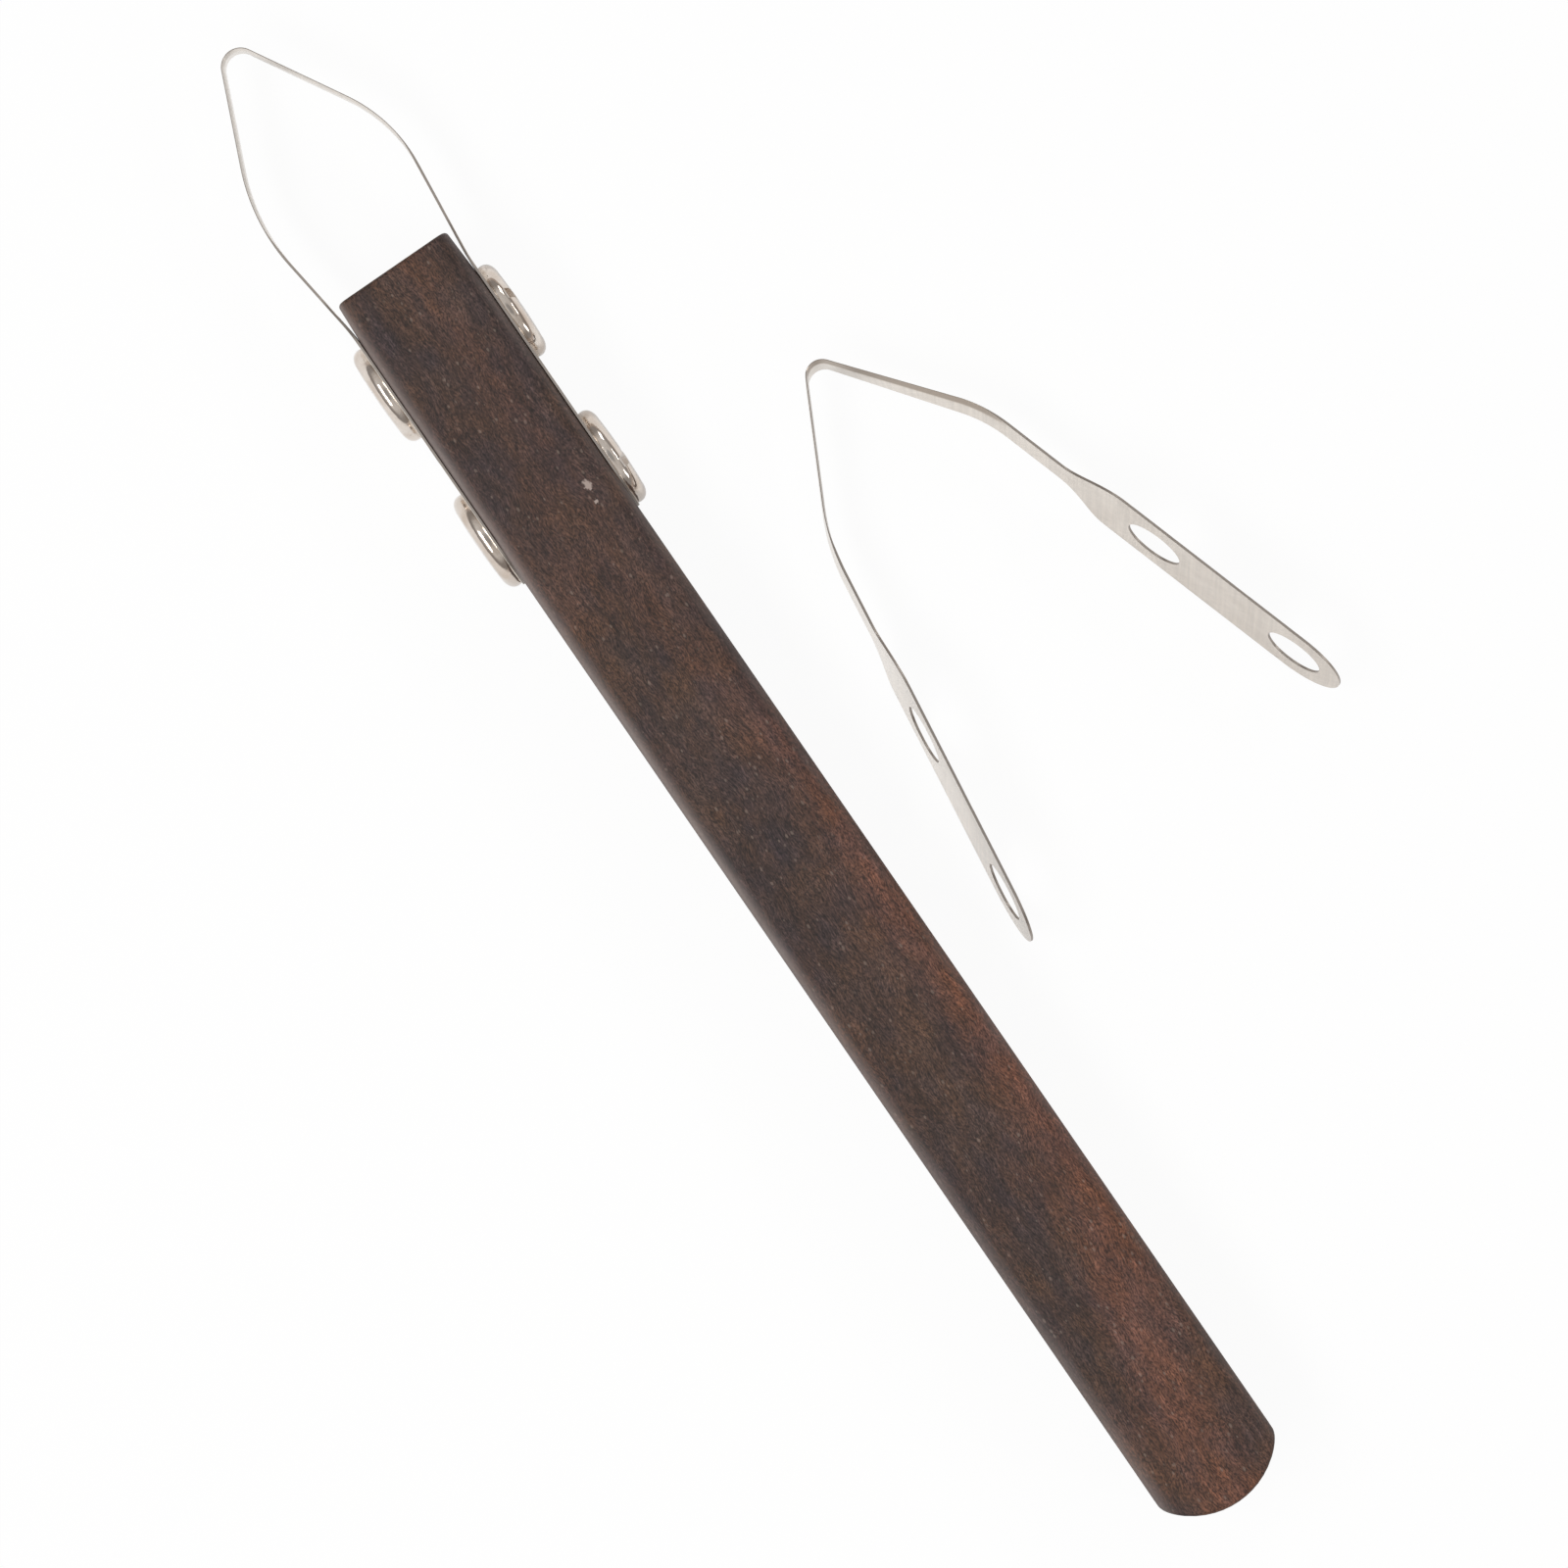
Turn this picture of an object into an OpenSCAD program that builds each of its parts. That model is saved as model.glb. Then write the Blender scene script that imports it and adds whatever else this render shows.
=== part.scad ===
// Trimming tool for leather-hard clay: a wooden handle, a bent ribbon blade that is held
// against the handle's two side flats by two pairs of binding screws, and a spare blade
// that lies beside it. Millimetres. +X runs along the handle to the cutting loop, +Y to
// the side of the plain post heads, +Z up. The origin is the middle of the underside.

/* [Handle] */
// Length from the square head end to the crown of the butt
handle_l = 137.8; // [110:0.1:200]
// Width between the two flats that hold the blade
handle_w = 12.6; // [11:0.1:16]
// Thickness from the underside to the top face
handle_t = 12; // [11.5:0.1:18]
// How far the square head end's sides stand in from the flats
head_end_inset = 0.25; // [0:0.05:1]
// Distance over which the head end widens to the flats
head_taper_l = 5.5; // [1:0.1:8]
// How far the sides at the rounded butt stand out from the flats
butt_swell = 0.1; // [0:0.05:1]
// Height of the rounded butt's crown
butt_crown = 3.4; // [1:0.1:4.8]
// Radius of the four long edges
edge_r = 1.3; // [0.4:0.1:2.5]
// Radius of the top and bottom edges at both ends
end_edge_r = 0.5; // [0.2:0.1:1.5]
// Radius of the head end's two corners, seen from above
head_corner_r = 0.4; // [0.1:0.1:1.5]
// Radius of the butt's two corners, seen from above
butt_corner_r = 0.7; // [0.2:0.1:2]

/* [Blade] */
// Thickness of the ribbon
blade_t = 0.25; // [0.2:0.05:0.6]
// Height of the ribbon around the loop
ribbon_w = 3.6; // [2:0.1:6]
// Height of the two pads that lie on the handle
pad_w = 10.4; // [8.5:0.1:11]
// Diameter of the holes in the pads
hole_d = 5.8; // [5.4:0.1:7]
// Distance between a pad's two holes
hole_pitch = 16.4; // [13:0.1:24]
// Front holes, measured back from the head end
front_hole_back = 9.1; // [8.2:0.1:14]
// Full pad height ahead of the front hole
pad_lead = 4.7; // [4:0.1:8]
// Length of the neck from the pad to the ribbon
neck_l = 6.4; // [3:0.1:10]
// Where the legs start to spread, measured back from the head end
knee_back = 2.9; // [2:0.1:5]
// Radius of that slight spread
knee_r = 18; // [10:1:36]
// Plain side's shoulder, ahead of the head end
left_shoulder_x = 11; // [8:0.1:14]
// Plain side's shoulder, outward of its leg
left_shoulder_out = 1.8; // [0.5:0.1:4]
// Screw side's shoulder, ahead of the head end
right_shoulder_x = 11.6; // [8:0.1:14]
// Screw side's shoulder, outward of its leg
right_shoulder_out = 1.5; // [0.5:0.1:4]
// Bend radius of the plain side's shoulder
left_shoulder_r = 19; // [3:0.5:22]
// Bend radius of the screw side's shoulder
right_shoulder_r = 14.5; // [3:0.5:22]
// Corner of the loop's tip, ahead of the head end
tip_x = 27.3; // [22:0.1:40]
// Corner of the loop's tip, to the plain side of the middle
tip_y = 1.2; // [-2:0.1:3]
// Bend radius of the tip
tip_r = 1.7; // [0.8:0.1:3]

/* [Binding screws] */
// Diameter of all four heads
head_d = 10; // [8:0.1:10.4]
// Height of the heads' straight rim
rim_h = 0.7; // [0.3:0.05:1.5]
// Full height of the heads
head_h = 1.5; // [1.2:0.05:2.5]
// Diameter of the flattened top of the heads
head_top_d = 7.2; // [4:0.1:7.6]
// Rise of that top's slight crown
head_crown = 0.12; // [0.05:0.01:0.3]
// Diameter of the barrels
barrel_d = 5; // [4.4:0.1:5.2]
// Gap between the barrel and its hole in the wood, all round
barrel_clearance = 0.1; // [0.05:0.01:0.2]
// Diameter of the screws' shanks
shank_d = 4; // [3:0.1:4.1]
// Gap between the shank and the barrel's bore, all round
shank_clearance = 0.05; // [0.02:0.01:0.1]
// Length of the screws' shanks below the head
shank_l = 9; // [6:0.1:10]
// Solid end of the barrel below its head
barrel_end = 1.2; // [0.8:0.1:1.8]
// Width of the driver slot
slot_w = 1.1; // [0.8:0.1:1.6]
// Depth of the driver slot
slot_depth = 0.7; // [0.4:0.05:0.9]
// Turn of the front screw's slot from upright
front_slot_turn = -15; // [-90:1:90]
// Turn of the rear screw's slot from upright
rear_slot_turn = 15; // [-90:1:90]

/* [Spare blade] */
// Length from a shoulder's corner to the end of its pad
spare_leg_l = 41.3; // [36:0.1:50]
// Angle between its sprung-open legs
spare_splay_angle = 25.2; // [12:0.1:34]
// Angle inside its tip
spare_tip_angle = 64.3; // [56:0.1:75]
// Tip corner, measured back from the head end
spare_tip_back = 27.7; // [10:0.1:45]
// Tip corner, measured from the handle's side flat
spare_tip_side = 20.7; // [18:0.1:40]
// Direction in which the spare points, from +X towards +Y
spare_heading = 5.2; // [-10:0.1:6]
// Lean of the ribbon from upright
spare_lean_angle = 16; // [0:0.5:20]
// Direction in which it leans, from +X towards +Y
spare_lean_heading = -30; // [-60:1:0]

/* [Hidden] */
$fn = 96;

WOOD = "#4a3027";
STEEL = "#cfc8bf";
NICKEL = "#d8cdbd";

// Steps in a bend of the ribbon or a curve of an outline
BEND_STEPS = 12;
// Steps in the neck between a pad and the ribbon
NECK_STEPS = 10;
// How far a cutting shape runs past the solid that it cuts
OVERRUN = 1;
// Distance to each side of a leg within which its pad is shaped
PAD_REACH = 3;

head_x = handle_l / 2;
mid_z = handle_t / 2;
head_end_w = handle_w - 2 * head_end_inset;
butt_w = handle_w + 2 * butt_swell;
leg_y = (handle_w + blade_t) / 2;
pad_face_y = handle_w / 2 + blade_t;
front_x = head_x - front_hole_back;
rear_x = front_x - hole_pitch;
blade_end_x = rear_x - pad_w / 2;
// The barrel ends half way through the far pad, so the two heads can draw up tight
barrel_l = handle_w + 1.5 * blade_t;

// Plane geometry

function unit(v) = v / norm(v);
function heading(angle) = [cos(angle), sin(angle)];
function angle_of(v) = atan2(v[1], v[0]);
function left_of(v) = [-v[1], v[0]];
function flat(corner) = [corner[0], corner[1]];
function reversed(list) = [for (i = [len(list) - 1:-1:0]) list[i]];

// Points of an arc, from one angle to another
function arc(centre, r, from, to) = [
    for (i = [0:BEND_STEPS]) centre + r * heading(from + (to - from) * i / BEND_STEPS),
];

// Points of a rounded corner, all shifted to the left of the way by shift
function bend(before, corner, after, r, shift = 0) =
    let (
        back = unit(before - corner),
        ahead = unit(after - corner),
        half = acos(back * ahead) / 2,
        side = sign(left_of(ahead) * back),
        centre = corner + unit(back + ahead) * r / sin(half),
        start = angle_of(corner + back * r / tan(half) - centre)
    )
    arc(centre, r - side * shift, start, start + side * (180 - 2 * half));

// One side of a ribbon that runs through corners of the form [x, y, radius]
function ribbon_side(path, shift) =
    let (
        last = len(path) - 1,
        first_normal = left_of(unit(flat(path[1]) - flat(path[0]))),
        last_normal = left_of(unit(flat(path[last]) - flat(path[last - 1])))
    )
    concat(
        [flat(path[0]) + first_normal * shift],
        [
            for (i = [1:last - 1])
                each bend(flat(path[i - 1]), flat(path[i]), flat(path[i + 1]), path[i][2], shift)
        ],
        [flat(path[last]) + last_normal * shift]
    );

// Handle

// Seen from above: square head end, parallel flats, slight swell to the rounded butt
function handle_outline() =
    let (
        half_butt = butt_w / 2,
        crown_r = (half_butt ^ 2 + butt_crown ^ 2) / (2 * butt_crown),
        crown_x = crown_r - head_x,
        corner_y = half_butt - butt_corner_r,
        corner_x = crown_x - sqrt((crown_r - butt_corner_r) ^ 2 - corner_y ^ 2),
        crown_start = angle_of([corner_x - crown_x, corner_y]),
        side = [
            each bend(
                [head_x, 0], [head_x, head_end_w / 2],
                [head_x - head_taper_l, handle_w / 2], head_corner_r
            ),
            [head_x - head_taper_l, handle_w / 2],
            [blade_end_x, handle_w / 2],
            each arc([corner_x, corner_y], butt_corner_r, 90, crown_start),
        ],
        crown = arc([crown_x, 0], crown_r, crown_start, 360 - crown_start)
    )
    concat(
        side,
        [for (i = [1:len(crown) - 2]) crown[i]],
        [for (p = reversed(side)) [p[0], -p[1]]]
    );

// A bar along X with its four long edges rounded, or along Y when turned
module rounded_section(width, thickness, r) {
    square([width - 2 * r, thickness], center = true);
    square([width, thickness - 2 * r], center = true);
    for (x = [-1, 1], y = [-1, 1])
        translate([x * (width / 2 - r), y * (thickness / 2 - r)])
            circle(r = r);
}

module handle() {
    color(WOOD)
        difference() {
            intersection() {
                linear_extrude(handle_t)
                    polygon(handle_outline());
                translate([0, 0, mid_z])
                    rotate([90, 0, 90])
                        linear_extrude(handle_l + 2 * OVERRUN, center = true)
                            rounded_section(butt_w, handle_t, edge_r);
                translate([0, 0, mid_z])
                    rotate([90, 0, 0])
                        linear_extrude(butt_w + 2 * OVERRUN, center = true)
                            rounded_section(handle_l, handle_t, end_edge_r);
            }
            for (x = [front_x, rear_x])
                translate([x, 0, mid_z])
                    rotate([90, 0, 0])
                        cylinder(
                            h = handle_w + 2 * OVERRUN,
                            d = barrel_d + 2 * barrel_clearance,
                            center = true
                        );
        }
}

// Blades

// Path of the fitted blade, in the part's own plane
fitted_path = [
    [blade_end_x, leg_y, 0],
    [head_x - knee_back, leg_y, knee_r],
    [head_x + left_shoulder_x, leg_y + left_shoulder_out, left_shoulder_r],
    [head_x + tip_x, tip_y, tip_r],
    [head_x + right_shoulder_x, -leg_y - right_shoulder_out, right_shoulder_r],
    [head_x - knee_back, -leg_y, knee_r],
    [blade_end_x, -leg_y, 0],
];

// The spare is the same strip, sprung open, so its loop has the same sides
spare_upper_l = (
    norm(flat(fitted_path[3]) - flat(fitted_path[2]))
    + norm(flat(fitted_path[4]) - flat(fitted_path[3]))
) / 2;

spare_tip = [head_x - spare_tip_back, -handle_w / 2 - spare_tip_side];

// Corners of one half of the spare, where side is 1 for the plain side and -1 for the screw side
function spare_leg_heading(side) = spare_heading - side * spare_splay_angle / 2;
function spare_shoulder(side) =
    spare_tip - spare_upper_l * heading(spare_heading - side * spare_tip_angle / 2);
function spare_end(side) = spare_shoulder(side) - spare_leg_l * heading(spare_leg_heading(side));

spare_path = [
    [spare_end(1)[0], spare_end(1)[1], 0],
    [spare_shoulder(1)[0], spare_shoulder(1)[1], left_shoulder_r],
    [spare_tip[0], spare_tip[1], tip_r],
    [spare_shoulder(-1)[0], spare_shoulder(-1)[1], right_shoulder_r],
    [spare_end(-1)[0], spare_end(-1)[1], 0],
];

// Roll of a leg's plate about the leg, when the ribbon leans
function plate_roll(leg_angle, lean, lean_heading) =
    -atan2(sin(lean) * cos(lean_heading - leg_angle - 90), cos(lean));

// Height of the spare's middle, which sets its lower pad edge on the table
function plate_rise(roll) = pad_w / 2 * cos(roll) + blade_t / 2 * abs(sin(roll));
spare_z = max([
    for (side = [-1, 1])
        plate_rise(plate_roll(spare_leg_heading(side), spare_lean_angle, spare_lean_heading)),
]);

// Face of a leg in its own plate, with the front hole at the origin and the tip towards +X
module leg_face(ribbon_half) {
    neck = [
        for (i = [0:NECK_STEPS])
            let (share = (1 - cos(180 * i / NECK_STEPS)) / 2)
            [pad_lead + neck_l * i / NECK_STEPS, pad_w / 2 + (ribbon_half - pad_w / 2) * share],
    ];
    upper = concat([[-hole_pitch, pad_w / 2]], neck);
    polygon(concat(upper, [for (p = reversed(upper)) [p[0], -p[1]]]));
    translate([-hole_pitch, 0])
        circle(d = pad_w);
}

// Places its children in the plate of a leg that ends at end and runs towards ahead
module in_plate(end, ahead, lean, lean_heading) {
    way = unit(ahead - end);
    front_hole = end + way * (pad_w / 2 + hole_pitch);
    translate([front_hole[0], front_hole[1], 0])
        rotate([0, 0, angle_of(way)])
            rotate([plate_roll(angle_of(way), lean, lean_heading), 0, 0])
                rotate([90, 0, 0])
                    children();
}

// A point of the middle plane, seen along the leaning ribbon
function seen_along(corner, lean, lean_heading) =
    let (p = flat(corner), lean_way = heading(lean_heading))
    [p * lean_way * cos(lean), p * left_of(lean_way), corner[2]];

// A bent strip: the ribbon's wall, kept where the loop's band or a leg's face is
module blade_solid(path, lean = 0, lean_heading = 0) {
    last = len(path) - 1;
    legs = [[flat(path[0]), flat(path[1])], [flat(path[last]), flat(path[last - 1])]];
    wall_path = [for (corner = path) seen_along(corner, lean, lean_heading)];
    wall = concat(
        ribbon_side(wall_path, blade_t / 2),
        reversed(ribbon_side(wall_path, -blade_t / 2))
    );
    band_h = ribbon_w * cos(lean);
    xs = [for (corner = path) corner[0]];
    ys = [for (corner = path) corner[1]];
    neck_middle = pad_w / 2 + hole_pitch + pad_lead + neck_l / 2;
    loop_back = min([for (leg = legs) (leg[0] + unit(leg[1] - leg[0]) * neck_middle)[0]]);
    difference() {
        intersection() {
            rotate([0, 0, lean_heading])
                rotate([0, lean, 0])
                    linear_extrude(8 * pad_w, center = true)
                        polygon(wall);
            union() {
                translate([loop_back, min(ys) - PAD_REACH, -band_h / 2])
                    cube([
                        max(xs) - loop_back + PAD_REACH,
                        max(ys) - min(ys) + 2 * PAD_REACH,
                        band_h,
                    ]);
                for (leg = legs)
                    in_plate(leg[0], leg[1], lean, lean_heading)
                        linear_extrude(2 * PAD_REACH, center = true)
                            leg_face(
                                band_h / 2
                                / cos(plate_roll(angle_of(leg[1] - leg[0]), lean, lean_heading))
                            );
            }
        }
        for (leg = legs, x = [0, -hole_pitch])
            in_plate(leg[0], leg[1], lean, lean_heading)
                translate([x, 0, 0])
                    cylinder(h = 2 * PAD_REACH, d = hole_d, center = true);
    }
}

module blade() {
    color(STEEL)
        translate([0, 0, mid_z])
            blade_solid(fitted_path);
}

module spare_blade() {
    color(STEEL)
        translate([0, 0, spare_z])
            blade_solid(spare_path, spare_lean_angle, spare_lean_heading);
}

// Binding screws

// Half section of a head, with its underside at y = 0
function head_profile() =
    let (
        edge_r = (head_d - head_top_d) / 2,
        edge_h = head_h - head_crown - rim_h
    )
    concat(
        [[0, 0], [head_d / 2, 0]],
        [
            for (i = [0:BEND_STEPS])
                let (a = 90 * i / BEND_STEPS)
                [head_top_d / 2 + edge_r * cos(a), rim_h + edge_h * sin(a)]
        ],
        [for (s = [0.7, 0.35, 0]) [head_top_d / 2 * s, head_h - head_crown * s ^ 2]]
    );

module binding_head() {
    rotate_extrude()
        polygon(head_profile());
}

// Female half: its head sits on z = 0 and its barrel runs down to the open end
module binding_post() {
    difference() {
        union() {
            binding_head();
            translate([0, 0, -barrel_l])
                cylinder(h = barrel_l, d = barrel_d);
        }
        translate([0, 0, -barrel_l - OVERRUN])
            cylinder(
                h = barrel_l - barrel_end + OVERRUN,
                d = shank_d + 2 * shank_clearance
            );
    }
}

// Male half: its head sits on z = 0 and its shank runs down
module binding_screw(slot_turn) {
    difference() {
        union() {
            binding_head();
            translate([0, 0, -shank_l])
                cylinder(h = shank_l, d = shank_d);
        }
        rotate([0, 0, slot_turn])
            translate([-head_d / 2 - OVERRUN, -slot_w / 2, head_h - slot_depth])
                cube([head_d + 2 * OVERRUN, slot_w, slot_depth + OVERRUN]);
    }
}

// Places a fastener on the blade's pad: side is 1 for the plain side, -1 for the screw side
module on_pad(x, side) {
    translate([x, side * pad_face_y, mid_z])
        rotate([-90 * side, 0, 0])
            rotate([0, 0, 90])
                children();
}

module post_front() {
    color(NICKEL)
        on_pad(front_x, 1)
            binding_post();
}

module post_rear() {
    color(NICKEL)
        on_pad(rear_x, 1)
            binding_post();
}

module screw_front() {
    color(NICKEL)
        on_pad(front_x, -1)
            binding_screw(front_slot_turn);
}

module screw_rear() {
    color(NICKEL)
        on_pad(rear_x, -1)
            binding_screw(rear_slot_turn);
}

handle();
blade();
post_front();
post_rear();
screw_front();
screw_rear();
spare_blade();
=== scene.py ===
import logging
import math
from collections.abc import Callable, Mapping, Sequence
from dataclasses import dataclass, field
from enum import Enum

import bmesh
import bpy
from mathutils import Matrix, Vector, noise


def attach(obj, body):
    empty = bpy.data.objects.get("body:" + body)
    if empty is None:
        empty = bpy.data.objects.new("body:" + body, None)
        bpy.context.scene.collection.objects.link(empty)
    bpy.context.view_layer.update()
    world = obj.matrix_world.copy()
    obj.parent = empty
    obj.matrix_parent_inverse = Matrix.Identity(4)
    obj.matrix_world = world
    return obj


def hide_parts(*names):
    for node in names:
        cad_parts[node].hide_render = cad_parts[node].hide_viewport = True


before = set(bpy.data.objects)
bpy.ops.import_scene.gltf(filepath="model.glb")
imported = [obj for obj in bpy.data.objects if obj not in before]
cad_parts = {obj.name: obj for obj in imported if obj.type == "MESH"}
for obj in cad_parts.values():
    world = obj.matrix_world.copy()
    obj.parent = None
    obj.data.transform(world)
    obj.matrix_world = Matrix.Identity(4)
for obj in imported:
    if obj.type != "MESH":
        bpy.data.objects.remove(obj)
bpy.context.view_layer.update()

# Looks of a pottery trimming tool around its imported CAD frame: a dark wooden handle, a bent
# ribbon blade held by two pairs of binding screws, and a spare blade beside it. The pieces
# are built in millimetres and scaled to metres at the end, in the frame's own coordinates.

# MM is a millimetre in metres. Points less than WELD millimetres apart are one point, and a
# number below TINY counts as 0.
MM = 0.001
WELD = 1e-4
TINY = 1e-9
QUARTER = math.pi / 2
WHITE = (1.0, 1.0, 1.0, 1.0)

log = logging.getLogger("trimming_tool")

Mesh = bpy.types.Mesh
Material = bpy.types.Material
Tree = bpy.types.NodeTree
Socket = bpy.types.NodeSocket
Sockets = Mapping[str, Socket]
Value = float | Socket
Point2 = tuple[float, float]
Point3 = tuple[float, float, float]
Colour = tuple[float, float, float, float]
Mark = Callable[[Vector], float]
Ripple = Callable[[float, float, int], float]


class Slot(Enum):
    """Names of the record's material slots."""

    WOOD = "handle_wood"
    STEEL = "blade_steel"
    NICKEL = "nickel"


class Side(Enum):
    """The handle's two side flats, by the sign of Y."""

    PLAIN = 1
    SCREW = -1


# Mesh tools


def clamped(value: float) -> float:
    """The value, held between 0 and 1."""
    return min(1.0, max(0.0, value))


def smooth_share(low: float, high: float, value: float) -> float:
    """Share from 0 at low to 1 at high, with a soft start and end."""
    share = clamped((value - low) / (high - low))
    return share * share * (3 - 2 * share)


def evenly(first: float, last: float, steps: int) -> list[float]:
    """Evenly spaced values from first to last, both of them included."""
    return [first + (last - first) * i / steps for i in range(steps + 1)]


def unevenness(place: Sequence[float], size: Point3, shift: float = 0.0) -> float:
    """Smooth noise from -1 to 1, whose blots have a size in X, Y and Z."""
    x, y, z = (value / extent for value, extent in zip(place, size))
    return noise.noise(Vector((x, y, z + shift)))


@dataclass(frozen=True)
class Ramp:
    """A value that goes softly from one level to another between two distances."""

    start: float
    end: float
    before: float
    after: float

    def at(self, distance: float) -> float:
        """The value at a distance."""
        share = smooth_share(self.start, self.end, distance)
        return self.before + (self.after - self.before) * share


@dataclass
class Skin:
    """Points in millimetres and the faces between them, gathered before a mesh is made.

    The marks hold a value for each point, and the face marks a value for each face.
    """

    points: list[Vector] = field(default_factory=list)
    faces: list[tuple[int, ...]] = field(default_factory=list)
    marks: dict[str, list[float]] = field(default_factory=dict)
    face_marks: dict[str, list[float]] = field(default_factory=dict)

    def add(self, point: Sequence[float]) -> int:
        """Keeps a point and returns its number."""
        self.points.append(Vector(point))
        return len(self.points) - 1

    def add_row(self, points: Sequence[Sequence[float]]) -> list[int]:
        """Keeps a row of points and returns their numbers."""
        return [self.add(point) for point in points]

    def join_rows(self, rows: Sequence[Sequence[int]], closed: bool = False) -> None:
        """Lays four-sided faces between neighbouring rows.

        Args:
            rows: Rows of point numbers, all of one length.
            closed: Whether each row's last point joins its first.
        """
        for near, far in zip(rows, rows[1:]):
            count = len(near)
            for i in range(count if closed else count - 1):
                j = (i + 1) % count
                self.faces.append((near[i], near[j], far[j], far[i]))

    def mesh(self, name: str) -> Mesh:
        """Makes a mesh, with doubled points welded and faces turned outward.

        Args:
            name: Name of the new mesh.

        Returns:
            The mesh, still in millimetres.
        """
        made = bpy.data.meshes.new(name)
        made.from_pydata([tuple(p) for p in self.points], [], self.faces)
        for domain, marks in (("POINT", self.marks), ("FACE", self.face_marks)):
            for mark, values in marks.items():
                made.attributes.new(mark, "FLOAT", domain).data.foreach_set("value", values)
        shape = bmesh.new()
        shape.from_mesh(made)
        bmesh.ops.remove_doubles(shape, verts=shape.verts, dist=WELD)
        bmesh.ops.dissolve_degenerate(shape, edges=shape.edges, dist=WELD)
        bmesh.ops.recalc_face_normals(shape, faces=shape.faces)
        shape.to_mesh(made)
        shape.free()
        return made


def new_object(name: str, data: bpy.types.ID) -> bpy.types.Object:
    """Makes an object of a mesh, a lamp or a camera and links it to the scene.

    Args:
        name: Name of the object.
        data: What it shows.

    Returns:
        The new object.
    """
    made = bpy.data.objects.new(name, data)
    bpy.context.scene.collection.objects.link(made)
    return made


def cut_away(mesh: Mesh, cutters: Sequence[Mesh]) -> Mesh:
    """Cuts closed shapes out of a closed mesh.

    Args:
        mesh: The mesh to cut, in millimetres.
        cutters: Closed meshes in the same place.

    Returns:
        A new mesh with the cutters' space removed.
    """
    blank = new_object("blank", mesh)
    tools = [new_object("cutter", cutter) for cutter in cutters]
    for tool in tools:
        step = blank.modifiers.new("cut", "BOOLEAN")
        step.operation = "DIFFERENCE"
        step.solver = "EXACT"
        step.object = tool
    bpy.context.view_layer.update()
    depsgraph = bpy.context.evaluated_depsgraph_get()
    result = bpy.data.meshes.new_from_object(blank.evaluated_get(depsgraph))
    for used in [blank, *tools]:
        bpy.data.objects.remove(used)
    return result


def soften_edges(mesh: Mesh, width: float, sharper_than: float) -> None:
    """Chamfers every edge that turns more than an angle.

    Args:
        mesh: The mesh to change, in millimetres.
        width: Width taken off on each side of an edge.
        sharper_than: Angle in degrees between the two faces' normals.
    """
    shape = bmesh.new()
    shape.from_mesh(mesh)
    limit = math.radians(sharper_than)
    edges = [e for e in shape.edges if len(e.link_faces) == 2 and e.calc_face_angle() > limit]
    bmesh.ops.bevel(
        shape, geom=edges, offset=width, segments=1, affect="EDGES", clamp_overlap=True
    )
    shape.to_mesh(mesh)
    shape.free()


def turned_mesh(
    name: str, profile: Sequence[Point2], steps: int, ripple: Ripple | None = None
) -> Mesh:
    """Turns a half section about Z.

    Args:
        name: Name of the new mesh.
        profile: Points (radius, height) from the axis at one end to the axis at the other.
        steps: Points around.
        ripple: Change of radius at (turn, height, profile index), such as a thread.

    Returns:
        The closed mesh, in millimetres.
    """
    skin = Skin()
    rows = []
    for index, (radius, height) in enumerate(profile):
        row = []
        for turn in evenly(0.0, math.tau, steps)[:-1]:
            r = radius + (ripple(turn, height, index) if ripple and radius > 0 else 0.0)
            row.append((r * math.cos(turn), r * math.sin(turn), height))
        rows.append(skin.add_row(row))
    skin.join_rows(rows, closed=True)
    return skin.mesh(name)


def place_piece(
    name: str,
    mesh: Mesh,
    material: Material,
    body: str,
    node: str,
    marks: dict[str, Mark] | None = None,
    sharp_angle: float = 32.0,
) -> None:
    """Turns a mesh in millimetres into a dressed piece that stands for a CAD node.

    Args:
        name: Name of the piece.
        mesh: Its mesh, in millimetres, in the frame's coordinates.
        material: Its finish.
        body: The CAD body that it rides on.
        node: The CAD node that it replaces.
        marks: Values stored on the points for the finish, each from a point in millimetres.
        sharp_angle: Edges that turn more than this many degrees stay crisp.
    """
    mesh.name = name
    for mark, value in (marks or {}).items():
        layer = mesh.attributes.new(mark, "FLOAT", "POINT")
        layer.data.foreach_set("value", [value(v.co) for v in mesh.vertices])
    mesh.transform(Matrix.Scale(MM, 4))
    mesh.shade_smooth()
    mesh.set_sharp_from_angle(angle=math.radians(sharp_angle))
    mesh.materials.clear()
    mesh.materials.append(material)
    piece = new_object(name, mesh)
    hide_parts(node)
    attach(piece, body)
    log.info("%s: %d points, rides on %s", name, len(mesh.vertices), body)


# Shader tools


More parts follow.
